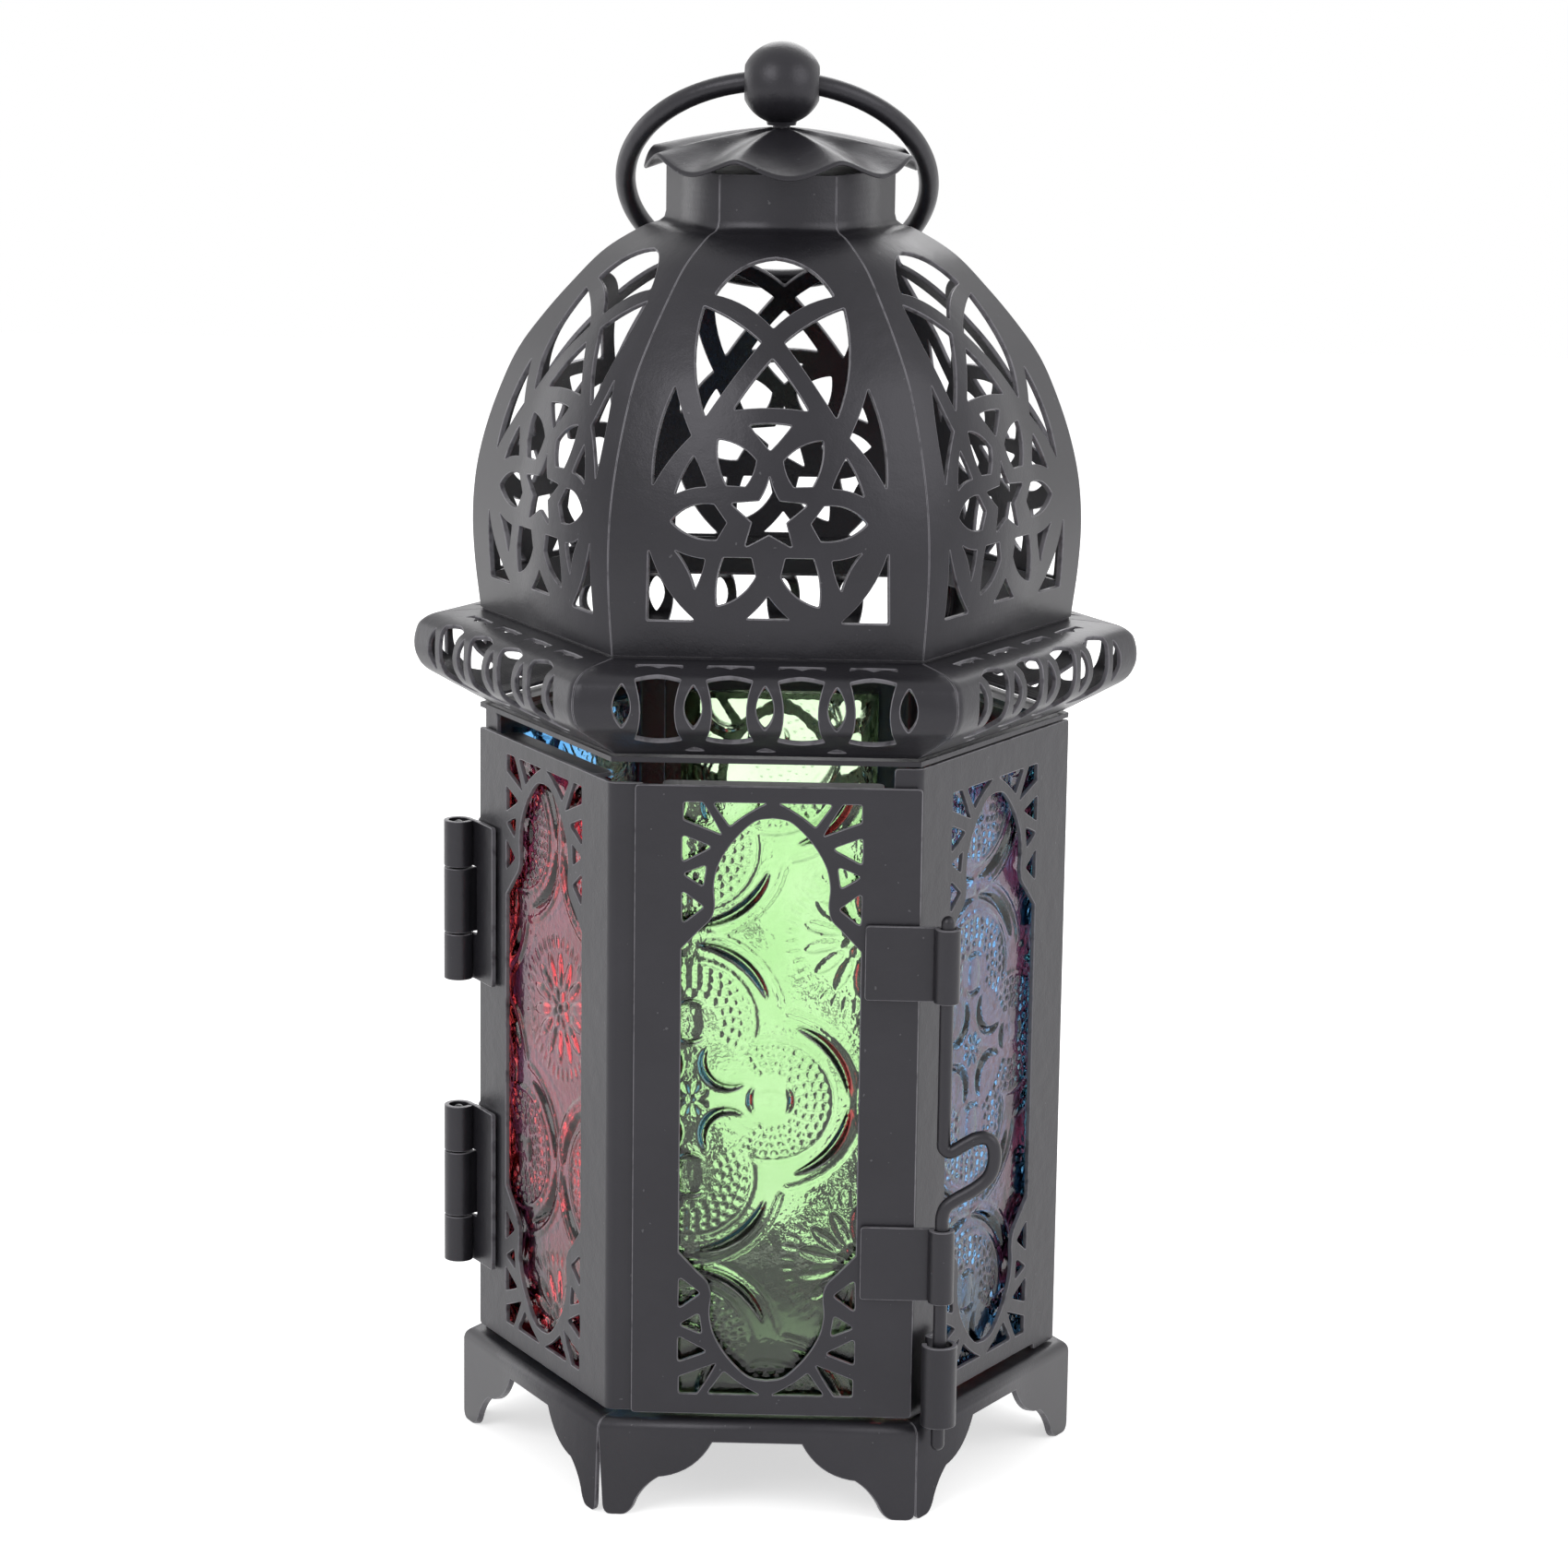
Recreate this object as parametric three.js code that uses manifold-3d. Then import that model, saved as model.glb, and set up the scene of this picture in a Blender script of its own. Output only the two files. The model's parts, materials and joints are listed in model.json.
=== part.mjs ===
// Hexagonal candle lantern with a pierced dome, a rolled gallery and a two-sided door.
// Millimetres, +Z up, feet on z = 0. The front side faces -Y and two corners lie on the X axis.
import * as THREE from 'three';
import { mergeVertices } from 'three/addons/utils/BufferGeometryUtils.js';
import Module from 'manifold-3d';

const wasm = await Module();
wasm.setup();

// Sizes shared by many pieces
const SHEET = 0.8;
const SEAT_GAP = 0.3;
const SEAM_GAP = 0.3;

// Base pan: one pressed sheet with six scalloped flaps
const BASE_APOTHEM = 44.4;
const BASE_HEIGHT = 16;
const BASE_SHEET = 1;
const BASE_BEND = 1.8;
const BASE_OPEN_SLIT = 1.3;
const ARCH_HALF_WIDTH = 7.2;
const ARCH_HEIGHT = 12.5;
const SCALLOP_HALF_WIDTH = 15.4;
const SCALLOP_HEIGHT = 6.6;
const FOOT_WIDTH = 6;

// Candle cup on the floor of the base
const CUP_RADIUS = 21;
const CUP_HEIGHT = 6;

// Side panels and the glass panes behind them
const BODY_APOTHEM = 42;
const PANEL_TOP = 123;
const PANEL_RELIEF = 1;
const DOOR_HEAD_GAP = 3;
const DOOR_FLOOR_CLEARANCE = 0.9;
const WRAP_WIDTH = 5;
const JAMB_WIDTH = 4.2;
const FRONT_LEFT_EDGE = -20.4;
const FRONT_RIGHT_EDGE = 24.6;
const FRONT_WINDOW_X = 1.2;
const WINDOW_SILL = 3.9;
const WINDOW_HEAD = 2.6;
const WINDOW_HALF_WIDTH = 14.1;
const PANE_THICKNESS = 2.6;
const PANE_SIDE_OVERLAP = 2.9;
const PANE_END_OVERLAP = 1.5;
const TAB_HEIGHT = 5;
const TAB_HOOK = 2.6;
const TAB_SPACING = 46;

// Hinges at the left corner
const HINGE_RADIUS = 2.45;
const HINGE_PIN_RADIUS = 1.1;
const HINGE_REACH = 3.5;
const HINGE_LEAF_WIDTH = 7.5;
const HINGE_LENGTH = 27;
const HINGE_KNUCKLE = 11.2;
const HINGE_HEIGHTS = { upper: 90.7, lower: 41.8 };

// Drop-bolt latch at the front right corner
const LATCH_X = 28.9;
const LATCH_Y = -44.6;
const LATCH_BARREL_RADIUS = 2.05;
const LATCH_WIRE_RADIUS = 1.1;
const LATCH_STRAP_HEIGHT = 12;
const LATCH_STRAP_START = 16;
const LATCH_STRAPS = { upper: 92.2, lower: 43 };
const KEEPER_HEIGHT = 13.4;
const KEEPER_FOOT = 6;
const BOLT_TOP = 100.2;
const BOLT_BOTTOM = 12.2;
const HANDLE_HEIGHT = 14.5;
const HANDLE_REACH = 8.3;

// Gallery, dome and neck; a corner radius is measured from the axis to a corner
const GALLERY_HEIGHT = 17.1;
const GALLERY_CORNER = 59.7;
const GALLERY_LIP_CORNER = 47.6;
const GALLERY_TOP_CORNER = 48.8;
const CIRCLE_PITCH = 11.05;
const DOME_FOOT_CORNER = 49.3;
const DOME_CORNER = 50;
const DOME_HEIGHT = 61.8;
const NECK_CORNER = 18.5;
const NECK_HEIGHT = 9;
const FOOT_RING_BELOW = 2.3;
const FOOT_RING_ABOVE = 3.8;
const COLLAR_HEIGHT = 6;

// Cap, finial and carrying ring
const CAP_RADIUS = 22;
const CAP_FALL = 4.9;
const CAP_FLUTES = 8;
const CAP_FLUTE_DEPTH = 1.2;
const CAP_TURN = 5;
const CAP_CLEARANCE = 6.3;
const BALL_RADIUS = 6.7;
const BALL_HOLE_RADIUS = 2.75;
const STEM_RADIUS = 2.3;
const STEM_LENGTH = 0.4;
const SCREW_RADIUS = 1.4;
const SCREW_HEAD_RADIUS = 2.8;
const RING_RADIUS = 24.9;
const RING_WIRE_RADIUS = 1.65;
const RING_SETBACK = 0.45;
const RING_LEAN = 44.5;
const RING_TURN = 2.5;

// Places worked out from the sizes above
const COS30 = Math.cos(Math.PI / 6);
const PANEL_BOTTOM = BASE_HEIGHT + SEAT_GAP;
const DOOR_BOTTOM = BASE_HEIGHT + DOOR_FLOOR_CLEARANCE;
const DOOR_TOP = PANEL_TOP - DOOR_HEAD_GAP;
const WINDOW_BOTTOM = PANEL_BOTTOM + WINDOW_SILL;
const WINDOW_TOP = DOOR_TOP - WINDOW_HEAD;
const WINDOW_MIDDLE = (WINDOW_BOTTOM + WINDOW_TOP) / 2;
const WINDOW_HALF_HEIGHT = (WINDOW_TOP - WINDOW_BOTTOM) / 2;
const DOOR_FRONT = BODY_APOTHEM + SEAT_GAP + SHEET;
const HIDDEN_PLANE = BODY_APOTHEM - SHEET - SEAT_GAP;
const PANE_HALF_WIDTH = WINDOW_HALF_WIDTH + PANE_SIDE_OVERLAP;
const PANE_HALF_HEIGHT = WINDOW_HALF_HEIGHT + PANE_END_OVERLAP;
const GALLERY_BOTTOM = PANEL_TOP + SHEET + 2 * SEAT_GAP;
const DOME_BOTTOM = GALLERY_BOTTOM + GALLERY_HEIGHT + SEAT_GAP;
const DOME_TOP = DOME_BOTTOM + DOME_HEIGHT;
const NECK_TOP = DOME_TOP + NECK_HEIGHT;
const CAP_TOP = NECK_TOP + CAP_CLEARANCE;
const BALL_HEIGHT = CAP_TOP + SEAT_GAP + STEM_LENGTH + Math.sqrt(BALL_RADIUS ** 2 - STEM_RADIUS ** 2);

// Materials
const BLACK = { color: 0x3c3b40, roughness: 0.55, metalness: 0.35 };
const GREEN = { color: 0x7fe07a, roughness: 0.15, metalness: 0, transparent: true, opacity: 0.6 };
const RED = { color: 0x8c2f3c, roughness: 0.15, metalness: 0, transparent: true, opacity: 0.6 };
const BLUE = { color: 0x4a62c8, roughness: 0.15, metalness: 0, transparent: true, opacity: 0.6 };

// Sides in order round the body, each turned 60 degrees from the one before
const SIDES = ['front', 'right_front', 'right_back', 'back', 'left_back', 'left_front'];
const GLASS = [GREEN, BLUE, RED, GREEN, BLUE, RED];

// Solids

function toManifold(geometry) {
  const bare = new THREE.BufferGeometry();
  bare.setAttribute('position', geometry.attributes.position);
  bare.setIndex(geometry.index);
  const merged = mergeVertices(bare, 1e-4);
  return new wasm.Manifold(new wasm.Mesh({
    numProp: 3,
    vertProperties: new Float32Array(merged.attributes.position.array),
    triVerts: new Uint32Array(merged.index.array),
  }));
}

function toGeometry(solid) {
  const mesh = solid.getMesh();
  const geometry = new THREE.BufferGeometry();
  geometry.setAttribute('position', new THREE.BufferAttribute(mesh.vertProperties, 3));
  geometry.setIndex(new THREE.BufferAttribute(mesh.triVerts, 1));
  const flat = geometry.toNonIndexed();
  flat.computeVertexNormals();
  return flat;
}

function outline(points) {
  return new THREE.Shape(points.map(([x, y]) => new THREE.Vector2(x, y)));
}

// A closed outline from its right half, drawn from one point of the middle line to another
function mirroredOutline(rightHalf, curveSegments = 3) {
  const right = rightHalf.getPoints(curveSegments).map((point) => [point.x, point.y]);
  const left = right.filter(([x]) => x > 1e-6).map(([x, y]) => [-x, y]);
  return outline(right.concat(left.reverse()));
}

function extrude(shape, depth) {
  return new THREE.ExtrudeGeometry(shape, { depth, bevelEnabled: false });
}

// A plan outline (x, y) raised from one height to another
function upright(shape, bottom, top) {
  return toManifold(extrude(shape, top - bottom).translate(0, 0, bottom));
}

// A front view outline (x, z) run from y = near back to y = far
function frontal(shape, near, far) {
  return toManifold(extrude(shape, far - near).rotateX(Math.PI / 2).translate(0, far, 0));
}

// A section (apothem, z) run along the front side
function alongSide(section, halfLength) {
  const turn = new THREE.Matrix4().makeBasis(
    new THREE.Vector3(0, -1, 0), new THREE.Vector3(0, 0, 1), new THREE.Vector3(-1, 0, 0));
  const run = extrude(outline(section), 2 * halfLength).applyMatrix4(turn);
  return toManifold(run.translate(halfLength, 0, 0));
}

function block(x0, x1, y0, y1, z0, z1) {
  const geometry = new THREE.BoxGeometry(x1 - x0, y1 - y0, z1 - z0);
  return toManifold(geometry.translate((x0 + x1) / 2, (y0 + y1) / 2, (z0 + z1) / 2));
}

function post(radius, x, y, bottom, top, segments = 16) {
  const geometry = new THREE.CylinderGeometry(radius, radius, top - bottom, segments);
  return toManifold(geometry.rotateX(Math.PI / 2).translate(x, y, (bottom + top) / 2));
}

function union(solids) {
  return solids.reduce((sum, solid) => sum.add(solid));
}

function hexagon(apothem, bottom, top) {
  const corners = SIDES.map((name, k) => {
    const angle = k * Math.PI / 3;
    return [apothem / COS30 * Math.cos(angle), apothem / COS30 * Math.sin(angle)];
  });
  return upright(outline(corners), bottom, top);
}

function hexTube(outerApothem, innerApothem, bottom, top) {
  return hexagon(outerApothem, bottom, top).subtract(hexagon(innerApothem, bottom - 1, top + 1));
}

// The front side's share of the plan, kept half a seam clear of both neighbours
function frontWedge(bottom, top) {
  const reach = 200;
  const tip = -SEAM_GAP;
  const far = tip - reach * COS30;
  return upright(outline([[0, tip], [-reach / 2, far], [reach / 2, far]]), bottom, top);
}

function leftNormal(a, b) {
  const length = Math.hypot(b[0] - a[0], b[1] - a[1]);
  return [-(b[1] - a[1]) / length, (b[0] - a[0]) / length];
}

// A sheet's section: the outer line from bottom to top, then back along its inner face
function sheetSection(outer, thickness) {
  const last = outer.length - 1;
  const inner = outer.map((point, i) => {
    const below = leftNormal(outer[Math.max(i, 1) - 1], outer[Math.max(i, 1)]);
    const above = leftNormal(outer[Math.min(i, last - 1)], outer[Math.min(i, last - 1) + 1]);
    const mean = [below[0] + above[0], below[1] + above[1]];
    const scale = 2 * thickness / (mean[0] ** 2 + mean[1] ** 2);
    return [point[0] + mean[0] * scale, point[1] + mean[1] * scale];
  });
  return outer.concat(inner.reverse());
}

function mirrorPoints(points) {
  return points.map(([x, z]) => [-x, z]);
}

// Base

function flapOutline() {
  const half = BASE_APOTHEM * Math.tan(Math.PI / 6);
  const inner = half - FOOT_WIDTH;
  const path = new THREE.Path();
  path.moveTo(0, ARCH_HEIGHT);
  path.lineTo(ARCH_HALF_WIDTH, ARCH_HEIGHT);
  path.quadraticCurveTo(ARCH_HALF_WIDTH + 2.4, SCALLOP_HEIGHT + 0.6, SCALLOP_HALF_WIDTH - 0.4, SCALLOP_HEIGHT);
  path.lineTo(SCALLOP_HALF_WIDTH + 0.5, SCALLOP_HEIGHT - 0.2);
  path.quadraticCurveTo(inner - 1.6, SCALLOP_HEIGHT - 2, inner, 2.4);
  path.quadraticCurveTo(inner + 0.9, 0, inner + 2.6, 0);
  path.lineTo(half - 1.8, 0);
  path.quadraticCurveTo(half, 0, half, 2);
  path.lineTo(half, BASE_HEIGHT + 1);
  path.lineTo(0, BASE_HEIGHT + 1);
  return mirroredOutline(path);
}

function flapSection() {
  const outer = [[BASE_APOTHEM, -1]];
  for (let i = 0; i <= 3; i++) {
    const angle = i * Math.PI / 6;
    outer.push([
      BASE_APOTHEM - BASE_BEND * (1 - Math.cos(angle)),
      BASE_HEIGHT - BASE_BEND * (1 - Math.sin(angle)),
    ]);
  }
  outer.push([BASE_APOTHEM - BASE_BEND - 3, BASE_HEIGHT]);
  return sheetSection(outer, BASE_SHEET);
}

function basePan() {
  const flap = alongSide(flapSection(), BASE_APOTHEM)
    .intersect(frontWedge(-2, BASE_HEIGHT + 2))
    .intersect(frontal(flapOutline(), -BASE_APOTHEM - 1, -BASE_APOTHEM / 2));
  const floor = hexagon(BASE_APOTHEM - BASE_BEND - 0.5, BASE_HEIGHT - BASE_SHEET, BASE_HEIGHT);
  const flaps = SIDES.map((name, k) => flap.rotate([0, 0, 60 * k]));
  const slit = outline([[-BASE_OPEN_SLIT / 2, -1], [BASE_OPEN_SLIT / 2, -1], [0, BASE_HEIGHT - 2 * BASE_BEND]]);
  const corner = frontal(slit, -1.3 * BASE_APOTHEM, -BASE_APOTHEM).rotate([0, 0, -30]);
  return union([floor, ...flaps]).subtract(corner);
}

function candleCup() {
  const bottom = BASE_HEIGHT + SEAT_GAP;
  const profile = [
    [0, 0], [CUP_RADIUS - 1, 0], [CUP_RADIUS, 1], [CUP_RADIUS, CUP_HEIGHT],
    [CUP_RADIUS - SHEET, CUP_HEIGHT], [CUP_RADIUS - SHEET, 1 + SHEET],
    [CUP_RADIUS - 1 - SHEET, SHEET], [0, SHEET],
  ];
  const cup = new THREE.LatheGeometry(profile.map(([r, z]) => new THREE.Vector2(r, z)), 32);
  return toManifold(cup.rotateX(Math.PI / 2).translate(0, 0, bottom));
}

// Side panels

// Plan point where this side at one apothem meets its neighbour at another
function cornerAt(own, neighbour, end) {
  return [end * (neighbour - own / 2) / COS30, -own];
}

function straightEnd(apothem, x) {
  return [[x, -apothem], [x, -apothem + SHEET]];
}

function buttEnd(apothem, end) {
  return [cornerAt(apothem, BODY_APOTHEM, end), cornerAt(apothem - SHEET, BODY_APOTHEM, end)];
}

// The sheet bends round the corner and runs on along the neighbouring side
function wrapEnd(apothem, plane, end, width) {
  const outer = cornerAt(apothem, plane, end);
  const inner = cornerAt(apothem - SHEET, plane - SHEET, end);
  const tip = [outer[0] + end * width / 2, outer[1] + COS30 * width];
  const back = [tip[0] - end * COS30 * SHEET, tip[1] + SHEET / 2];
  return [outer, tip, back, inner];
}

// The window's end is drawn as [from the middle line, below the window's top] on a window 28.2 wide
const WINDOW_PATTERN_HALF_WIDTH = 14.1;

function windowPoint([x, drop], end) {
  const scale = WINDOW_HALF_WIDTH / WINDOW_PATTERN_HALF_WIDTH;
  return [x * scale, end * (WINDOW_HALF_HEIGHT - drop * scale)];
}

function spandrelCuts() {
  return [
    [[13.9, 0], [11.2, 0], [8, 5.2], [13.9, 2.9]],
    [[9.2, 0], [1, 0], [6.4, 3.6]],
    [[14.1, 5.4], [14.1, 9.6], [9.5, 7.1]],
    [[14, 11.2], [10.4, 10.2], [10.8, 13.3]],
    [[14.1, 14.3], [10.7, 16.7], [13.9, 19.2]],
  ];
}

function archEnd(path, end) {
  const points = [
    [0, 2.4], [3.2, 3.5], [8.9, 5.6], [8.8, 11], [8.6, 16], [9, 18.6], [11.3, 20.4], [14.1, 23.6],
  ];
  const [top, brow, bow, side, waist, flare, foot, edge] = points.map((point) => windowPoint(point, end));
  if (end > 0) {
    path.moveTo(...top);
    path.lineTo(...brow);
    path.quadraticCurveTo(...bow, ...side);
    path.lineTo(...waist);
    path.quadraticCurveTo(...flare, ...foot);
    path.lineTo(...edge);
  } else {
    path.lineTo(...edge);
    path.lineTo(...foot);
    path.quadraticCurveTo(...flare, ...waist);
    path.lineTo(...side);
    path.quadraticCurveTo(...bow, ...brow);
    path.lineTo(...top);
  }
}

function archOutline() {
  const path = new THREE.Path();
  archEnd(path, 1);
  archEnd(path, -1);
  return mirroredOutline(path);
}

function windowCut() {
  const cuts = [archOutline()];
  for (const points of spandrelCuts()) {
    for (const end of [1, -1]) {
      const right = points.map((point) => windowPoint(point, end));
      cuts.push(outline(right), outline(mirrorPoints(right)));
    }
  }
  return union(cuts.map((shape) => frontal(shape, -1, SHEET + 1))).translate([0, 0, WINDOW_MIDDLE]);
}

const WINDOW_CUT = windowCut();

function paneTab(apothem, end, z) {
  const x = PANE_HALF_WIDTH + SEAT_GAP;
  const back = apothem - 2 * SHEET - 2 * SEAT_GAP - PANE_THICKNESS;
  const plan = outline([
    [end * x, -apothem + SHEET / 2], [end * (x + SHEET), -apothem + SHEET / 2],
    [end * (x + SHEET), -back], [end * (x + SHEET - TAB_HOOK), -back],
    [end * (x + SHEET - TAB_HOOK), -back - SHEET], [end * x, -back - SHEET],
  ]);
  return upright(plan, z - TAB_HEIGHT / 2, z + TAB_HEIGHT / 2);
}

function panel(apothem, left, right, bottom, top, windowX = 0, relief = 0) {
  const plan = outline([...left.slice().reverse(), ...right]);
  const foot = bottom + relief;
  const lipBack = -apothem + SHEET + PANE_THICKNESS + 2 * SEAT_GAP;
  const lip = PANE_HALF_WIDTH + SEAT_GAP;
  const fittings = [
    block(-lip, lip, -apothem + SHEET / 2, lipBack, foot, foot + SHEET),
    block(-lip, lip, -apothem + SHEET / 2, lipBack, top - SHEET, top),
  ];
  for (const end of [-1, 1]) {
    for (const level of [-1, 1]) fittings.push(paneTab(apothem, end, WINDOW_MIDDLE + level * TAB_SPACING / 2));
  }
  return upright(plan, bottom, top)
    .subtract(WINDOW_CUT.translate([windowX, -apothem, 0]))
    .subtract(block(-lip, lip, -apothem - 1, -apothem + SHEET + 1, bottom - 1, foot))
    .add(union(fittings).translate([windowX, 0, 0]));
}

// A fixed panel stands on its two ends, with a shallow relief between them
function fixedPanel(left, right) {
  return panel(BODY_APOTHEM, left, right, PANEL_BOTTOM, PANEL_TOP, 0, PANEL_RELIEF);
}

function panels() {
  const butt = (end) => buttEnd(BODY_APOTHEM, end);
  const hidden = (end) => wrapEnd(BODY_APOTHEM, HIDDEN_PLANE, end, WRAP_WIDTH);
  const jamb = wrapEnd(BODY_APOTHEM, BODY_APOTHEM, -1, JAMB_WIDTH);
  const joining = wrapEnd(BODY_APOTHEM, BODY_APOTHEM, 1, WRAP_WIDTH + SEAT_GAP);
  return [
    panel(DOOR_FRONT, straightEnd(DOOR_FRONT, FRONT_LEFT_EDGE), straightEnd(DOOR_FRONT, FRONT_RIGHT_EDGE),
      DOOR_BOTTOM, DOOR_TOP, FRONT_WINDOW_X),
    fixedPanel(jamb, butt(1)),
    fixedPanel(hidden(-1), butt(1)),
    fixedPanel(hidden(-1), butt(1)),
    fixedPanel(hidden(-1), hidden(1)),
    panel(BODY_APOTHEM, butt(-1), joining, DOOR_BOTTOM, DOOR_TOP),
  ];
}

function pane(apothem, x) {
  const front = -apothem + SHEET + SEAT_GAP;
  return block(x - PANE_HALF_WIDTH, x + PANE_HALF_WIDTH, front, front + PANE_THICKNESS,
    WINDOW_MIDDLE - PANE_HALF_HEIGHT, WINDOW_MIDDLE + PANE_HALF_HEIGHT);
}

// Hinges, drawn on the front side with the barrel off its left (-1) or right (+1) end

function hingeLeaf(end, middle, height) {
  const x = end * (BODY_APOTHEM / COS30 + HINGE_REACH) / 2;
  const y = -(BODY_APOTHEM / COS30 + HINGE_REACH) * COS30;
  const bottom = height - HINGE_LENGTH / 2;
  const top = height + HINGE_LENGTH / 2;
  const low = height - HINGE_KNUCKLE / 2;
  const high = height + HINGE_KNUCKLE / 2;
  const seat = -BODY_APOTHEM - SEAT_GAP;
  const edges = [x, x - end * HINGE_LEAF_WIDTH].sort((a, b) => a - b);
  const plate = block(edges[0], edges[1], seat - SHEET, seat, bottom, top);
  const barrel = post(HINGE_RADIUS, x, y, bottom, top);
  const other = middle ? [[bottom, low], [high, top]] : [[low, high]];
  const gap = SEAM_GAP / 2;
  const clear = HINGE_RADIUS + gap;
  const cuts = other.map(([from, to]) => (
    block(x - clear, x + clear, y - clear, seat + 1, from - gap, to + gap)));
  return plate.add(barrel)
    .subtract(union(cuts))
    .subtract(post(HINGE_PIN_RADIUS + SEAT_GAP, x, y, bottom - 1, top + 1, 12));
}

function hingePin(height) {
  const x = -(BODY_APOTHEM / COS30 + HINGE_REACH);
  return post(HINGE_PIN_RADIUS, x, 0, height - HINGE_LENGTH / 2, height + HINGE_LENGTH / 2, 12);
}

// Latch

function latchStrap(height) {
  const bottom = height - LATCH_STRAP_HEIGHT / 2;
  const top = height + LATCH_STRAP_HEIGHT / 2;
  const seat = -DOOR_FRONT - SEAT_GAP;
  return block(LATCH_STRAP_START, LATCH_X, seat - SHEET, seat, bottom, top)
    .add(post(LATCH_BARREL_RADIUS, LATCH_X, LATCH_Y, bottom, top))
    .subtract(post(LATCH_WIRE_RADIUS + SEAT_GAP, LATCH_X, LATCH_Y, bottom - 1, top + 1, 12));
}

// The keeper is drawn on the front side and turned on to the right front side
function keeper() {
  const turn = -Math.PI / 3;
  const x = LATCH_X * Math.cos(turn) - LATCH_Y * Math.sin(turn);
  const y = LATCH_X * Math.sin(turn) + LATCH_Y * Math.cos(turn);
  const bottom = BASE_HEIGHT + 2 * SEAT_GAP;
  const top = bottom + KEEPER_HEIGHT;
  const web = x + LATCH_BARREL_RADIUS;
  const seat = -BODY_APOTHEM - SEAT_GAP;
  return post(LATCH_BARREL_RADIUS, x, y, bottom, top)
    .add(block(web - SHEET, web, y, seat, bottom, top))
    .add(block(web - SHEET, web + KEEPER_FOOT, seat - SHEET, seat, bottom, top))
    .subtract(post(LATCH_WIRE_RADIUS + SEAT_GAP, x, y, bottom - 1, top + 1, 12))
    .rotate([0, 0, 60]);
}

function boltPath() {
  const at = (x, z) => new THREE.Vector3(LATCH_X + x, LATCH_Y, z);
  const low = LATCH_STRAPS.lower + LATCH_STRAP_HEIGHT / 2 + SEAT_GAP + LATCH_WIRE_RADIUS;
  const high = low + HANDLE_HEIGHT;
  const path = new THREE.CurvePath();
  path.add(new THREE.LineCurve3(at(0, BOLT_TOP), at(0, high)));
  path.add(new THREE.QuadraticBezierCurve3(at(0, high), at(0, high - 2.8), at(2.2, high - 2.6)));
  path.add(new THREE.LineCurve3(at(2.2, high - 2.6), at(HANDLE_REACH - 2.6, high - 1.2)));
  path.add(new THREE.QuadraticBezierCurve3(
    at(HANDLE_REACH - 2.6, high - 1.2), at(HANDLE_REACH, high - 0.8), at(HANDLE_REACH, high - 3.8)));
  path.add(new THREE.QuadraticBezierCurve3(
    at(HANDLE_REACH, high - 3.8), at(HANDLE_REACH, low + 6.4), at(HANDLE_REACH - 2.4, low + 5)));
  path.add(new THREE.LineCurve3(at(HANDLE_REACH - 2.4, low + 5), at(1.8, low + 2.4)));
  path.add(new THREE.QuadraticBezierCurve3(at(1.8, low + 2.4), at(0, low + 1.6), at(0, low)));
  path.add(new THREE.LineCurve3(at(0, low), at(0, BOLT_BOTTOM)));
  return path;
}

function latchBolt() {
  const circle = new THREE.Shape().absarc(0, 0, LATCH_WIRE_RADIUS, 0, 2 * Math.PI);
  const wire = new THREE.ExtrudeGeometry(circle, {
    steps: 36, curveSegments: 4, bevelEnabled: false, extrudePath: boltPath(),
  });
  return toManifold(wire);
}

// Gallery

// Section points as [share of the way out to the belly, share of the height]
function gallerySection() {
  const below = [[0, 0], [0.6, 0.222], [0.86, 0.328], [0.967, 0.44], [1, 0.545]];
  const above = [[0.98, 0.66], [0.9, 0.77], [0.62, 0.87], [0, 1]];
  const place = (from) => ([out, up]) => [
    COS30 * (from + out * (GALLERY_CORNER - from)), GALLERY_BOTTOM + up * GALLERY_HEIGHT,
  ];
  return [...below.map(place(GALLERY_LIP_CORNER)), ...above.map(place(GALLERY_TOP_CORNER))];
}

// Openings of a chain of overlapping circles, drawn as [x, height] for a pitch of 11.05 and a height of 17.1
const CHAIN_PITCH = 11.05;
const CHAIN_HEIGHT = 17.1;

function chainPath(start, curves) {
  const place = ([x, z]) => [x * CIRCLE_PITCH / CHAIN_PITCH, z * GALLERY_HEIGHT / CHAIN_HEIGHT];
  const path = new THREE.Path();
  path.moveTo(...place(start));
  for (const [control, end] of curves) path.quadraticCurveTo(...place(control), ...place(end));
  return path;
}

function circleCut() {
  const curves = [
    [[2.4, 14.4], [3.6, 13.6]], [[2, 11.6], [2, 8.9]], [[2, 6], [3.6, 3.7]], [[2.4, 2.9], [0, 2.9]],
  ];
  return mirroredOutline(chainPath([0, 14.4], curves), 2);
}

function eyeCut() {
  return mirroredOutline(chainPath([0, 13], [[[2.8, 9.5], [0, 6]]]), 3);
}

function slitCut() {
  return mirroredOutline(chainPath([0, 2], [[[0.7, 1.5], [1.4, 1.1]], [[0.7, 1.1], [0, 1.1]]]), 1);
}

function slotCut() {
  const curves = [[[1.6, 16], [3.3, 16]], [[3.5, 15.7], [3.6, 15.5]], [[1.8, 15.5], [0, 15.5]]];
  return mirroredOutline(chainPath([0, 16], curves), 1);
}

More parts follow.
